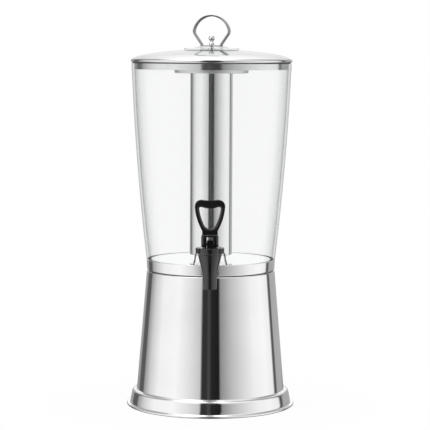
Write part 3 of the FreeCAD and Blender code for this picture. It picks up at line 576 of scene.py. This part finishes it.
def wallShape(azimuth, r, level):
    # the wall's round radius, or inside the arch that of the flat boss
    sizes = wallSizes
    if math.cos(azimuth) < sizes["frontCosine"]:
        return r
    if level < sizes["stepLevel"] - meshSizes["weld"]:
        return r
    inside = r < wallRadius(level) - sizes["thick"] / 2
    face = sizes["bossInner"] if inside else sizes["bossFace"]
    flat = face / math.cos(azimuth)
    shift = min(flat - r, 0.0) if inside else max(flat - r, 0.0)
    return r + shift * inArch(face * math.tan(azimuth), level)


def wallPath():
    # from the foot up the outside and down the inside, in close rows at the boss
    sizes = wallSizes
    levels = []
    level = sizes["stepLevel"]
    while level < sizes["rimLevel"] - sizes["coarseStep"]:
        levels.append(level)
        level += sizes["fineStep"] if level < sizes["bossTop"] else sizes["coarseStep"]
    top, bend = sizes["rimLevel"], sizes["rimBend"]
    thick = sizes["thick"]
    path = [Vector((sizes["footInner"], sizes["footLevel"])),
            Vector((sizes["footOuter"], sizes["footLevel"])),
            Vector((sizes["footOuter"], sizes["stepLevel"] - sizes["underStep"]))]
    path += [Vector((wallRadius(z), z)) for z in levels]
    rim, last = wallRadius(top), levels[-1]
    path += softPath([(wallRadius(last) - thick / 2, last, 0), (rim, last, 0),
                      (rim, top, bend), (rim - thick, top, bend),
                      (rim - thick, last, 0)])[2:-1]
    path += [Vector((wallRadius(z) - thick, z)) for z in reversed(levels)]
    return path


def wallAzimuths():
    # close columns across the arch, wider ones round the rest
    sizes = wallSizes
    first, step, count = sizes["firstColumn"], sizes["columnStep"], sizes["otherColumns"]
    fine = [first + step * k for k in range(sizes["archColumns"])]
    last = fine[-1]
    coarse = [last + step + (360 + first - last) * k / count for k in range(count)]
    return [math.radians(angle) for angle in fine + coarse]


clearWall = lathePiece("clearWall", wallPath(), clearWallPlastic, "container",
                       "clear_wall", ["container_wall"], shape=wallShape,
                       azimuths=wallAzimuths())


def markPaintedEdgeShade(piece):
    # painted shade mask: 1 on the arch's turned edges, where the clear wall is darkened, 0 on the
    # plain wall
    marks = piece.data.attributes.new("corner", "FLOAT", "POINT")
    for vert, mark in zip(piece.data.vertices, marks.data):
        across, back, level = vert.co
        if back < -wallSizes["edgeShadeFront"] and level > wallSizes["stepLevel"]:
            inside = inArch(across, level)
            # highest half-way up the soft edge
            mark.value = 4 * inside * (1 - inside)


markPaintedEdgeShade(clearWall)
print("stand and container made")


# lid with its ice tube

lidSizes = {
    "sheet": 0.0010,
    "outline": (  # from the foot of the mouth's collar over the dome to the skirt
        (0.0276, 0.4916, 0.0),
        (0.0276, 0.4978, 0.0014),
        (0.0600, 0.4962, 0.6000),
        (0.1008, 0.4898, 0.0600),
        (0.1124, 0.4846, 0.0040),
        (0.1124, 0.4802, 0.0021),
        (0.1068, 0.4802, 0.0011),
        (0.1068, 0.4707, 0.0),
    ),
}
lidPath = sheetPath(softPath(lidSizes["outline"], closed=False, arcStep=math.radians(3)),
                    lidSizes["sheet"])
lathePiece("lidSkin", lidPath, lidSteel, "lid", "polished_steel", ["lid_dome"],
           segments=288)

tubeSizes = {
    "radius": 0.0295,
    "wall": 0.0008,
    "bottom": 0.2120,
    "endThick": 0.0012,
    "endBend": 0.0009,
    "rimBend": 0.0003,
    "floorBend": 0.0006,
    "flangeRadius": 0.0515,
    "flangeBottom": 0.4655,
    "flangeTop": 0.4707,
    "flangeBend": 0.0012,
    "flangeTopBend": 0.0006,
}
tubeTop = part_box("ice_tube")[1].z


def tubeOutline():
    # from the middle of the end disc up the outside, over the rim and down inside
    sizes = tubeSizes
    inside, floor = sizes["radius"] - sizes["wall"], sizes["bottom"] + sizes["endThick"]
    return softPath([
        (0.0, sizes["bottom"], 0.0),
        (sizes["radius"], sizes["bottom"], sizes["endBend"]),
        (sizes["radius"], tubeTop, sizes["rimBend"]),
        (inside, tubeTop, sizes["rimBend"]),
        (inside, floor, sizes["floorBend"]),
        (0.0, floor, 0.0),
    ])


def flangeOutline():
    sizes = tubeSizes
    return softPath([
        (sizes["radius"], sizes["flangeBottom"], 0.0),
        (sizes["flangeRadius"], sizes["flangeBottom"], sizes["flangeBend"]),
        (sizes["flangeRadius"], sizes["flangeTop"], sizes["flangeTopBend"]),
        (sizes["radius"], sizes["flangeTop"], 0.0),
    ])


lathePiece("tubeSkin", tubeOutline(), polishedSteel, "lid", "polished_steel", ["ice_tube"])
lathePiece("tubeFlangeSkin", flangeOutline(), satinSteel, "lid", "polished_steel",
           ["tube_flange"])
print("lid and ice tube made")


# fill cap

capSizes = {
    "outline": (  # from the screw hole over the crown and brim to the plug's inside
        (0.00205, 0.50036, 0.0),
        (0.00205, 0.50420, 0.0002),
        (0.0130, 0.50400, 0.0300),
        (0.0250, 0.50000, 0.0060),
        (0.0383, 0.49996, 0.0009),
        (0.0383, 0.49776, 0.0009),
        (0.0269, 0.49776, 0.0005),
        (0.0269, 0.49020, 0.0008),
        (0.0247, 0.49020, 0.0008),
        (0.0247, 0.49776, 0.0012),
        (0.0158, 0.49810, 0.0015),
        (0.0150, 0.50036, 0.0008),
    ),
}
lathePiece("capSkin", softPath(capSizes["outline"]), clearCapPlastic, "cap", "clear_cap",
           ["fill_cap"], segments=192)

strapSizes = {
    "thick": 0.0020,
    "depth": 0.0120,
    "edge": 0.0005,
    "foot": 0.50236,
    "arcRadius": 0.0254,
    "arcCentre": 0.0172,
    "spread": 77.0,
    "sideBend": 0.0076,
    "legSlope": 34.5,
    "footBend": 0.0035,
    "footHalf": 0.0140,
    "baseBend": 0.0016,
    "hold": 0.0003,
    "turn": -13.0,
}


def strapLine():
    # middle line of the right half of the strap, from the crown of its arc
    sizes = strapSizes
    half = sizes["thick"] / 2
    end = 90 - sizes["spread"]
    arc = arcPath((0, sizes["arcCentre"]), sizes["arcRadius"], 90, end, 20)
    side = math.radians(end)
    inner = sizes["arcRadius"] - sizes["sideBend"]
    bendCentre = (inner * math.cos(side), sizes["arcCentre"] + inner * math.sin(side))
    bend = arcPath(bendCentre, sizes["sideBend"], end, -sizes["legSlope"], 10)
    slope = math.radians(sizes["legSlope"])
    fall = (bend[-1].x - sizes["footHalf"]) / math.tan(slope)
    knee = Vector((sizes["footHalf"], bend[-1].y - fall))
    corners = [(*bend[-1], 0), (*knee, sizes["footBend"]),
               (sizes["footHalf"], half, sizes["baseBend"]), (0, half, 0)]
    leg = softPath(corners, closed=False, hold=sizes["hold"])
    return arc[:-1] + bend[:-1] + leg


def bandTree(name):
    # sweeps a rounded flat section along the object's own line
    tree = bpy.data.node_groups.new(name, "GeometryNodeTree")
    for label, way, kind in (
            ("Geometry", "INPUT", "Geometry"), ("Width", "INPUT", "Float"),
            ("Thickness", "INPUT", "Float"), ("Edge", "INPUT", "Float"),
            ("Finish", "INPUT", "Material"), ("Geometry", "OUTPUT", "Geometry")):
        tree.interface.new_socket(label, in_out=way, socket_type="NodeSocket" + kind)
    make = tree.nodes.new
    entry = make("NodeGroupInput")
    toCurve = make("GeometryNodeMeshToCurve")
    section = make("GeometryNodeCurvePrimitiveQuadrilateral")
    soften = make("GeometryNodeFilletCurve")
    soften.mode = "POLY"
    next(item for item in soften.inputs if item.name == "Count").default_value = 3
    sweep = make("GeometryNodeCurveToMesh")
    sweep.inputs["Fill Caps"].default_value = True
    real = make("GeometryNodeRealizeInstances")
    paint = make("GeometryNodeSetMaterial")
    leave = make("NodeGroupOutput")
    for source, output, target, socket in (
            (entry, "Geometry", toCurve, "Mesh"), (toCurve, "Curve", sweep, "Curve"),
            (entry, "Width", section, "Width"), (entry, "Thickness", section, "Height"),
            (section, "Curve", soften, "Curve"), (entry, "Edge", soften, "Radius"),
            (soften, "Curve", sweep, "Profile Curve"), (sweep, "Mesh", real, "Geometry"),
            (real, "Geometry", paint, "Geometry"), (entry, "Finish", paint, "Material"),
            (paint, "Geometry", leave, "Geometry")):
        tree.links.new(source.outputs[output], target.inputs[socket])
    return tree


def sweepBand(name, line, width, thick, edge, material, closed=True):
    # returns the plain mesh of the band swept along a closed or open run of points
    mesh = bpy.data.meshes.new(name + "Line")
    steps = len(line) if closed else len(line) - 1
    mesh.from_pydata(line, [(i, (i + 1) % len(line)) for i in range(steps)], [])
    guide = bpy.data.objects.new(name + "Guide", mesh)
    scene.collection.objects.link(guide)
    tree = bandTree(name + "Tree")
    modifier = guide.modifiers.new("band", "NODES")
    modifier.node_group = tree
    values = {"Width": width, "Thickness": thick, "Edge": edge, "Finish": material}
    for socket in tree.interface.items_tree:
        if socket.in_out == "INPUT" and socket.name in values:
            modifier[socket.identifier] = values[socket.name]
    bpy.context.view_layer.update()
    swept = bpy.data.meshes.new_from_object(
        guide.evaluated_get(bpy.context.evaluated_depsgraph_get()))
    bpy.data.objects.remove(guide)
    return swept


strapTurn = Matrix.Rotation(math.radians(strapSizes["turn"]), 3, "Z")
strapRun = [strapTurn @ Vector((p.x, 0, p.y + strapSizes["foot"]))
            for p in mirrorHalf(strapLine())]
strapMesh = sweepBand("strap", strapRun, strapSizes["depth"], strapSizes["thick"],
                      strapSizes["edge"], strapSteel)
dressPiece("strapBand", strapMesh, strapSteel, "cap", ["strap_handle"])

finialSizes = {
    "bore": 0.00195,
    "foot": 0.50416,
    "footRadius": 0.0036,
    "footTop": 0.50656,
    "footEdge": 0.0003,
    "shoulderBend": 0.0016,
    "neckRadius": 0.00165,
    "neckLevel": 0.5094,
    "ball": 0.0043,
    "ballCentre": 0.51356,
    "ballEnd": 89,  # degrees, where the ball's arc stops short of its top point
    "socket": 0.5101,
}


def finialOutline():
    # from the foot's bore over the neck and the ball, and down the screw's socket
    sizes = finialSizes
    neckAngle = -math.degrees(math.acos(sizes["neckRadius"] / sizes["ball"]))
    path = softPath([
        (sizes["bore"], sizes["foot"], 0),
        (sizes["footRadius"], sizes["foot"], sizes["footEdge"]),
        (sizes["footRadius"], sizes["footTop"], sizes["shoulderBend"]),
        (sizes["neckRadius"], sizes["neckLevel"], 0),
    ], closed=False)
    path += arcPath((0, sizes["ballCentre"]), sizes["ball"], neckAngle, sizes["ballEnd"], 24)
    return path + [Vector((0, sizes["ballCentre"] + sizes["ball"])), Vector((0, sizes["socket"])),
                   Vector((sizes["bore"], sizes["socket"]))]


lathePiece("finialTurned", finialOutline(), polishedSteel, "cap", "polished_steel",
           ["finial_nut"], segments=64)
print("fill cap made")


# tap

tapSizes = {
    "reach": 0.1230,
    "shankLevel": 0.2156,
    "barrelRadius": 0.0088,
    "barrelStart": 0.0105,  # behind the tap's axis, inside its body
    "flangeRadius": 0.0110,
    "flangeThick": 0.0030,
    "flangeRoot": 0.0012,
    "flangeEdge": 0.0006,
    "flangeBackEdge": 0.0004,
    "washerFace": 0.0980,
    "shankRadius": 0.0065,
    "shankEnd": 0.0730,
    "shankEdge": 0.0005,
    "inlet": 0.0040,
    "inletEdge": 0.0003,
    "outline": (  # from the outlet's mouth up the outside and down the chamber
        (0.0062, 0.1780, 0.0004),
        (0.0091, 0.1780, 0.0006),
        (0.0099, 0.1975, 0.0300),
        (0.0160, 0.2243, 0.0015),
        (0.0160, 0.2250, 0.0003),
        (0.0130, 0.2250, 0.0),
        (0.0130, 0.2300, 0.0),
        (0.0096, 0.2300, 0.0),
        (0.0096, 0.2030, 0.0),
        (0.0062, 0.2030, 0.0),
    ),
}
tapPlace = Matrix.Translation((0, -tapSizes["reach"], 0))
# own +Z of a turned part laid along +Y, at the shank's level
shankPlace = Matrix.Translation((0, 0, tapSizes["shankLevel"])) @ Matrix.Rotation(
    math.radians(-90), 4, "X")


def shankOutline():
    # from the shank's end through the inlet, out to the barrel and back
    sizes = tapSizes
    end, root = -sizes["shankEnd"], sizes["barrelStart"] - sizes["reach"]
    back = -sizes["washerFace"]
    front = back - sizes["flangeThick"]
    return softPath([
        (sizes["inlet"], end, sizes["inletEdge"]),
        (sizes["inlet"], root, 0),
        (sizes["barrelRadius"], root, 0),
        (sizes["barrelRadius"], front, sizes["flangeRoot"]),
        (sizes["flangeRadius"], front, sizes["flangeEdge"]),
        (sizes["flangeRadius"], back, sizes["flangeBackEdge"]),
        (sizes["shankRadius"], back, 0),
        (sizes["shankRadius"], end, sizes["shankEdge"]),
    ])


tapMesh = bmesh.new()
addLathe(tapMesh, softPath(tapSizes["outline"]), segments=96, place=tapPlace)
addLathe(tapMesh, shankOutline(), segments=72, place=shankPlace)
finishPiece("tapCasting", tapMesh, blackPlastic, "container", ["tap_body"])

bonnetSizes = {
    "radius": 0.01935,
    "footRadius": 0.0162,
    "footEdge": 0.0004,
    "bottom": 0.2250,
    "chamferTop": 0.2272,
    "chamferBend": 0.0015,
    "top": 0.2340,
    "edge": 0.0008,
    "grooveRadius": 0.0021,
    "grooves": 4,
    "neck": 0.0133,
    "roof": 0.2303,
    "guide": 0.0033,
    "guideEdge": 0.0002,
}


def bonnetOutline():
    # from the stem's guide over the top, down the grip and up the neck's bore
    sizes = bonnetSizes
    return softPath([
        (sizes["guide"], sizes["roof"], 0),
        (sizes["guide"], sizes["top"], sizes["guideEdge"]),
        (sizes["radius"], sizes["top"], sizes["edge"]),
        (sizes["radius"], sizes["chamferTop"], sizes["chamferBend"]),
        (sizes["footRadius"], sizes["bottom"], sizes["footEdge"]),
        (sizes["neck"], sizes["bottom"], 0),
        (sizes["neck"], sizes["roof"], 0),
    ])


def bonnetShape(azimuth, r, level):
    # the radius there, less a groove that runs down the grip
    sizes = bonnetSizes
    pitch = 2 * math.pi / sizes["grooves"]
    off = (azimuth % pitch) - pitch / 2
    across = sizes["radius"] * math.sin(off)
    if abs(across) >= sizes["grooveRadius"] or r <= sizes["neck"]:
        return r
    deep = math.sqrt(sizes["grooveRadius"] ** 2 - across ** 2)
    return min(r, sizes["radius"] * math.cos(off) - deep)


bonnetMesh = bmesh.new()
addLathe(bonnetMesh, bonnetOutline(), segments=360, shape=bonnetShape, place=tapPlace)
finishPiece("bonnetKnob", bonnetMesh, blackPlastic, "container",
            ["tap_bonnet"])

leverSizes = {
    "pinLevel": 0.2392,
    "depth": 0.0074,
    "edge": 0.0006,
    "eyeEdge": 0.0027,
    "lobeAcross": 0.0115,
    "lobeLevel": 0.0501,
    "lobeRadius": 0.0089,
    "saddleLevel": 0.0580,
    "sideBend": 0.0720,
    "sideStart": 4.0,
    "sideSlope": 26.0,
    "sideBar": 0.0058,
    "neckHalf": 0.0104,
    "slotTop": 0.0098,
    "eyeTopLevel": 0.0473,
    "eyeTopBend": 0.0348,
    "eyeBottomRadius": 0.0086,
    "eyeCorner": 0.0022,
    "forkWidth": 0.0232,
    "forkDepth": 0.0110,
    "forkTop": 0.0129,
    "forkRound": 0.0032,
    "slotWidth": 0.0088,
    "camForward": 0.0034,
    "camRise": 0.00285,
    "camRadius": 0.0079,
    "forkEdge": 0.0005,
    "forkCorner": 0.0017,
    "bridgeLap": 0.0005,  # of the block above the slot, into each cheek
    "bridgeEdge": 0.0001,
}
coarseArc = math.radians(12)
noHold = 0.01  # runs under four times this get no points of their own


def leverOutside():
    # left half of the loop's outline, from the saddle down to the fork
    sizes = leverSizes
    across, level, radius = sizes["lobeAcross"], sizes["lobeLevel"], sizes["lobeRadius"]
    lobe = Vector((-across, level))
    dip = sizes["saddleLevel"] - level
    saddle = (across ** 2 / (radius - dip) - radius - dip) / 2
    lean = math.degrees(math.atan2(across, saddle + dip))
    first, last = 180 + sizes["sideStart"], 180 + sizes["sideSlope"]
    start = math.radians(first)
    sideCentre = lobe - Vector((math.cos(start), math.sin(start))) * (
        sizes["sideBend"] - radius)
    half = arcPath((0, sizes["saddleLevel"] + saddle), saddle, 270, 270 - lean, 8)
    half += arcPath(lobe, radius, 90 - lean, first, 20)[1:]
    side = arcPath(sideCentre, sizes["sideBend"], first, last, 8)
    half += side[1:]
    leg = side[-1]
    fall = (-sizes["neckHalf"] - leg.x) / math.tan(math.radians(sizes["sideSlope"]))
    half.append(Vector((-sizes["neckHalf"], leg.y - fall)))
    half.append(Vector((-sizes["neckHalf"], sizes["slotTop"])))
    return half, sideCentre


def leverEye(sideCentre):
    # left half of the loop's eye, from the middle of its top to its bottom
    sizes = leverSizes
    inner = sizes["sideBend"] - sizes["sideBar"]
    top = Vector((0, sizes["eyeTopLevel"] + sizes["eyeTopBend"]))
    gap = sideCentre - top
    along = (gap.length ** 2 + sizes["eyeTopBend"] ** 2 - inner ** 2) / (2 * gap.length)
    off = math.sqrt(sizes["eyeTopBend"] ** 2 - along ** 2)
    unit = gap.normalized()
    base = top + unit * along
    turned = Vector((-unit.y, unit.x))
    corner = min((base + turned * off, base - turned * off), key=lambda p: p.y)
    topAngle = math.degrees(math.atan2(corner.y - top.y, corner.x - top.x)) % 360
    sideAngle = math.degrees(math.atan2(corner.y - sideCentre.y,
                                        corner.x - sideCentre.x)) % 360
    slope = math.radians(sizes["sideSlope"])
    crown = arcPath(top, sizes["eyeTopBend"], 270, topAngle, 8)
    side = arcPath(sideCentre, inner, sideAngle, 180 + sizes["sideSlope"], 10)
    soft = softPath([(*crown[-3], 0), (*corner, sizes["eyeCorner"]), (*side[2], 0)],
                    closed=False, arcStep=coarseArc, hold=noHold)
    leg = side[-1]
    apex = leg.y + leg.x / math.tan(slope)
    bottom = (0, apex + sizes["eyeBottomRadius"] / math.sin(slope))
    curl = arcPath(bottom, sizes["eyeBottomRadius"], 180 + sizes["sideSlope"], 270, 8)
    return crown[:-3] + soft + side[3:] + curl


def edgeProfile(depth, nearEdge, farEdge, rim=0.00015, steps=5):
    # (inset, place) pairs from the near face of a plate to its far one; rim is a
    # narrow flat border that keeps the faces' shading true
    near = [(nearEdge + rim, 0.0)]
    far = [(farEdge + rim, depth)]
    for k in range(steps + 1):
        swing = math.pi / 2 * k / steps
        near.append((nearEdge * (1 - math.sin(swing)), nearEdge * (1 - math.cos(swing))))
        far.append((farEdge * (1 - math.sin(swing)), depth - farEdge * (1 - math.cos(swing))))
    return near + far[::-1]


def insetLoop(loop, inset):
    # moves each point of a closed loop to its left by inset
    moved = []
    for i, spot in enumerate(loop):
        ahead = (loop[(i + 1) % len(loop)] - loop[i - 1]).normalized()
        moved.append(spot + Vector((-ahead.y, ahead.x)) * inset)
    return moved


def shrunkLoop(loop, inset):
    # draws a loop in towards the middle of its box, by inset at the box's sides
    low = Vector((min(p.x for p in loop), min(p.y for p in loop)))
    high = Vector((max(p.x for p in loop), max(p.y for p in loop)))
    middle, half = (low + high) / 2, (high - low) / 2
    return [Vector((middle.x + (p.x - middle.x) * (1 - inset / half.x),
                    middle.y + (p.y - middle.y) * (1 - inset / half.y))) for p in loop]


def addPlate(bm, outlines, depth, place, narrow=insetLoop):
    # plate in XY from z 0 to depth; outlines: (loop, edge at z 0, edge at depth)
    rims = []
    for loop, nearEdge, farEdge in outlines:
        rings = [[bm.verts.new(place @ Vector((p.x, p.y, level)))
                  for p in narrow(loop, inset)]
                 for inset, level in edgeProfile(depth, nearEdge, farEdge)]
        count = len(loop)
        for lower, upper in zip(rings, rings[1:]):
            for k in range(count):
                j = (k + 1) % count
                bm.faces.new((lower[k], lower[j], upper[j], upper[k]))
        rims.append((rings[0], rings[-1]))
    for side in (0, 1):
        edges = [bm.edges.get((rim[side][k - 1], rim[side][k]))
                 for rim in rims for k in range(len(rim[side]))]
        bmesh.ops.triangle_fill(bm, edges=edges, use_beauty=True)


def forkLoop(bottom):
    # side view of the fork, forwards and up from the pin; without a bottom it
    # ends in the round cam
    sizes = leverSizes
    back, front = -sizes["forkDepth"] / 2, sizes["camForward"] + sizes["camRadius"]
    corner, top = sizes["forkCorner"], sizes["forkTop"]
    corners = [(front, top, corner), (back, top, corner)]
    if bottom is not None:
        corners += [(back, bottom, sizes["forkEdge"]), (front, bottom, sizes["forkEdge"])]
        return softPath(corners, arcStep=coarseArc, hold=noHold)
    cam = arcPath((sizes["camForward"], sizes["camRise"]), sizes["camRadius"], -180, 0, 28)
    corners = [(*cam[-1], 0), *corners, (*cam[0], 0)]
    return cam[1:-1] + softPath(corners, closed=False, arcStep=coarseArc, hold=noHold)


# plates are drawn in XY: these stand them up, facing -Y, or turn them side on
faceOn = Matrix.Rotation(math.radians(90), 4, "X")
sideOn = Matrix(((0, 0, 1, 0), (-1, 0, 0, 0), (0, 1, 0, 0), (0, 0, 0, 1)))
leverPlace = Matrix.Translation((0, -tapSizes["reach"], leverSizes["pinLevel"]))
leverMesh = bmesh.new()


def addLoop():
    # the loop stands upright, its middle over the pin
    sizes = leverSizes
    outside, sideMiddle = leverOutside()
    outlines = [(mirrorHalf(outside), sizes["edge"], sizes["edge"]),
                (mirrorHalf(leverEye(sideMiddle))[::-1], sizes["eyeEdge"], sizes["eyeEdge"])]
    middle = Matrix.Translation((0, 0, -sizes["depth"] / 2))
    addPlate(leverMesh, outlines, sizes["depth"], leverPlace @ faceOn @ middle)


def addForkPlate(loop, edges, start, width):
    place = leverPlace @ Matrix.Translation((start, 0, 0)) @ sideOn
    addPlate(leverMesh, [(loop, *edges)], width, place, shrunkLoop)


def addFork():
    # two cheeks, rounder on their outer sides, and the block above the slot
    sizes = leverSizes
    halfSlot = sizes["slotWidth"] / 2
    cheek = (sizes["forkWidth"] - sizes["slotWidth"]) / 2
    rounded = (sizes["forkEdge"], sizes["forkRound"])
    addForkPlate(forkLoop(None), rounded[::-1], -halfSlot - cheek, cheek)
    addForkPlate(forkLoop(None), rounded, halfSlot, cheek)
    addForkPlate(forkLoop(sizes["slotTop"]), (sizes["bridgeEdge"], sizes["bridgeEdge"]),
                 -halfSlot - sizes["bridgeLap"], sizes["slotWidth"] + 2 * sizes["bridgeLap"])


addLoop()
addFork()
finishPiece("leverLoop", leverMesh, blackPlastic, "lever",
            ["tap_handle"], crease=40)

springSizes = {
    "radius": 0.0052,
    "wire": 0.0010,
    "edge": 0.00045,
    "turns": 4,
    "perTurn": 20,
    "low": 0.2112,
    "high": 0.2297,
    "fixedEnd": 0.2302,
    "shortest": 0.795,
}


def coilLine():
    # middle line of the spring's wire, round the stem
    sizes = springSizes
    steps = sizes["turns"] * sizes["perTurn"]
    line = []
    for step in range(steps + 1):
        swing = 2 * math.pi * step / sizes["perTurn"]
        line.append((sizes["radius"] * math.cos(swing),
                     sizes["radius"] * math.sin(swing) - tapSizes["reach"],
                     sizes["low"] + (sizes["high"] - sizes["low"]) / steps * step))
    return line


coilMesh = sweepBand("spring", coilLine(), springSizes["wire"], springSizes["wire"],
                     springSizes["edge"], drawnSteel, closed=False)
springCoil = dressPiece("springCoil", coilMesh, drawnSteel, "container",
                        ["return_spring"], crease=50)
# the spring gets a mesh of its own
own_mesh(springCoil)
print("tap made")


# pieces that keep the shape of their solids

plainPieces = {
    "foot_ring": darkRubber,
    "seat_gasket": darkRubber,
    "tap_washer_outer": darkRubber,
    "shank_nut": blackPlastic,
    "tap_stem": blackPlastic,
    "seat_cup": paleSilicone,
    "pivot_pin": drawnSteel,
    "lid_gasket": darkRubber,
    "lid_liner": satinSteel,
    "cap_screw": polishedSteel,
}
for node, material in plainPieces.items():
    for holder in nodes[node].material_slots:
        holder.material = material


# studio

studioSizes = {
    "floorRadius": 1.3,
    "shownNear": 0.965,
    "fadeFrom": 0.13,
    "fadeTo": 0.30,
    "floorTone": (0.86, 0.86, 0.86),
    "ambient": 0.62,
    "lowOver": (-0.172, -0.135),  # directions' rise at which one ring becomes the next
    "highOver": (0.02, 0.11),
    "topOver": (0.25, 0.66),
    "boxSize": 1.6,
    "boxPlace": (-0.3, -0.4, 2.0),
    "boxTilt": (-12, -9, 0),
    "boxPower": 9.0,
}

floorMesh = bpy.data.meshes.new("floor")
floorBm = bmesh.new()
bmesh.ops.create_circle(floorBm, cap_ends=True, segments=96,
                        radius=studioSizes["floorRadius"])
floorBm.to_mesh(floorMesh)
floorBm.free()
floor = bpy.data.objects.new("floor", floorMesh)
scene.collection.objects.link(floor)
floor.visible_glossy = False


def makePaper():
    # paper that fades to plain white away from the stand, for the camera only
    desk = NodeDesk(bpy.data.materials.new("floorPaper"))
    paper = desk.add("ShaderNodeBsdfDiffuse")
    paper.inputs["Color"].default_value = (*studioSizes["floorTone"], 1)
    white = desk.add("ShaderNodeEmission")
    distance = desk.add("ShaderNodeVectorMath", operation="LENGTH")
    desk.join(desk.coords, distance.inputs[0])
    fade = desk.spread(distance.outputs["Value"], studioSizes["shownNear"], 1.0,
                       studioSizes["fadeFrom"], studioSizes["fadeTo"])
    eye = desk.add("ShaderNodeLightPath")
    shown = desk.math("MULTIPLY", eye.outputs["Is Camera Ray"], fade)
    return desk.finished(desk.mixed(shown, paper.outputs[0], white.outputs[0]))


floorMesh.materials.append(makePaper())

# what polished steel sees round it: level with the eye, a little higher, towards
# the table and overhead. Degrees from -Y, +X positive, and grey.
ringLow = (
    (-180, 0.42), (-171, 0.42), (-150, 0.33), (-146, 0.11), (-130, 0.10), (-126, 0.34),
    (-119, 0.46), (-111, 0.64), (-89, 0.94), (-56, 1.0), (-33, 0.80),
    (-15.6, 0.60), (-13.1, 0.035), (-6, 0.03), (-2, 0.07), (2, 0.02), (14.2, 0.012),
    (16.8, 0.28), (35, 0.54), (54, 0.74), (75, 0.94), (99, 1.0), (118, 0.90),
    (122, 0.10), (127.5, 0.10), (131, 0.42), (171, 0.44), (180, 0.42),
)
ringHigh = (
    (-180, 1.10), (-172, 1.02), (-164, 0.50), (-150, 0.38), (-144, 0.13), (-129, 0.12),
    (-119, 0.50), (-111, 0.72), (-89, 0.95), (-56, 1.0), (-33, 0.80), (-15.3, 0.60),
    (-12.6, 0.035), (-6, 0.03), (-2, 0.07), (2, 0.02), (15.5, 0.012), (18, 0.28),
    (35, 0.54), (54, 0.74), (75, 0.94), (99, 1.0), (117, 0.72), (121, 0.14),
    (132, 0.14), (139, 0.42), (164, 0.52), (172, 1.02), (180, 1.10),
)
ringGround = (
    (-180, 0.14), (-155, 0.18), (-150, 0.30), (-146, 0.11), (-132, 0.10),
    (-128, 0.42), (-118, 0.54), (-111, 0.66), (-89, 0.94), (-56, 1.0), (-33, 0.78),
    (-17.2, 0.40), (-14.6, 0.035), (-6, 0.03), (-2, 0.07), (2, 0.02), (13.4, 0.012),
    (16.0, 0.28), (35, 0.50), (54, 0.72), (75, 0.93), (99, 1.0), (116, 0.90),
    (120, 0.10), (126.5, 0.10), (129.5, 0.34), (155, 0.18), (180, 0.14),
)
ringTop = (
    (-180, 2.0), (-168, 1.90), (-159, 1.45), (-151, 0.60), (-140, 0.50), (-128, 0.42),
    (-116, 0.30), (-104, 0.50), (-84, 0.92), (-30, 1.0), (-19, 0.95), (-14, 0.18),
    (14, 0.18), (19, 0.85), (30, 0.95), (84, 0.92), (104, 0.50), (116, 0.30),
    (128, 0.42), (140, 0.55), (151, 0.65), (159, 1.45), (168, 1.90), (180, 2.0),
)


def addRing(desk, stops, position):
    # a ramp of greys all the way round
    ramp = desk.add("ShaderNodeValToRGB")
    desk.join(position, ramp.inputs[0])
    elements = ramp.color_ramp.elements
    while len(elements) < len(stops):
        elements.new(0.5)
    for element, (degrees, grey) in zip(elements, stops):
        element.position = degrees / 360 + 0.5
        element.color = (grey, grey, grey, 1)
    return ramp.outputs["Color"]


def makeStudio():
    # a plain white room that shows its rings of grey in reflections only
    scene.world = bpy.data.worlds.new("studio")
    desk = NodeDesk(scene.world, "ShaderNodeOutputWorld", "Generated")
    places = desk.places()
    forward = desk.math("MULTIPLY", places["Y"], -1)
    angle = desk.math("ARCTAN2", places["X"], forward)
    around = desk.spread(angle, 0, 1, -math.pi, math.pi)
    seen = addRing(desk, ringGround, around)
    for ring, levels in ((ringLow, "lowOver"), (ringHigh, "highOver"), (ringTop, "topOver")):
        risen = desk.spread(places["Z"], 0, 1, *studioSizes[levels])
        seen = desk.blend(risen, seen, addRing(desk, ring, around))
    mirrored, ambient, backdrop = (desk.add("ShaderNodeBackground") for _ in range(3))
    desk.join(seen, mirrored.inputs["Color"])
    ambient.inputs["Color"].default_value = (1, 1, 1, 1)
    ambient.inputs["Strength"].default_value = studioSizes["ambient"]
    backdrop.inputs["Color"].default_value = (1, 1, 1, 1)
    rays = desk.add("ShaderNodeLightPath")
    unseen = desk.mixed(rays.outputs["Is Glossy Ray"], ambient.outputs[0],
                        mirrored.outputs[0])
    desk.finished(desk.mixed(rays.outputs["Is Camera Ray"], unseen, backdrop.outputs[0]))


makeStudio()

softbox = bpy.data.lights.new("softbox", "AREA")
softbox.size = studioSizes["boxSize"]
softbox.energy = studioSizes["boxPower"]
softboxHolder = bpy.data.objects.new("softbox", softbox)
softboxHolder.location = studioSizes["boxPlace"]
softboxHolder.rotation_euler = [math.radians(angle) for angle in studioSizes["boxTilt"]]
scene.collection.objects.link(softboxHolder)
print("studio made")


# camera

cameraSizes = {
    "lens": 161.6,
    "sensor": 36.0,
    "distance": 2.695,
    "height": 0.5045,
    "around": 0.6,
    "pitch": -5.036,
    "yaw": -0.12,
    "roll": 0.25,
}
cameraData = bpy.data.cameras.new("camera")
cameraData.lens = cameraSizes["lens"]
cameraData.sensor_width = cameraSizes["sensor"]
camera = bpy.data.objects.new("camera", cameraData)
camera.matrix_world = (
    Matrix.Rotation(math.radians(cameraSizes["around"]), 4, "Z")
    @ Matrix.Translation((0, -cameraSizes["distance"], cameraSizes["height"]))
    @ Matrix.Rotation(math.radians(cameraSizes["yaw"]), 4, "Z")
    @ Matrix.Rotation(math.radians(90 + cameraSizes["pitch"]), 4, "X")
    @ Matrix.Rotation(math.radians(cameraSizes["roll"]), 4, "Z"))
scene.collection.objects.link(camera)
scene.camera = camera
print("camera placed")

bpy.context.view_layer.update()
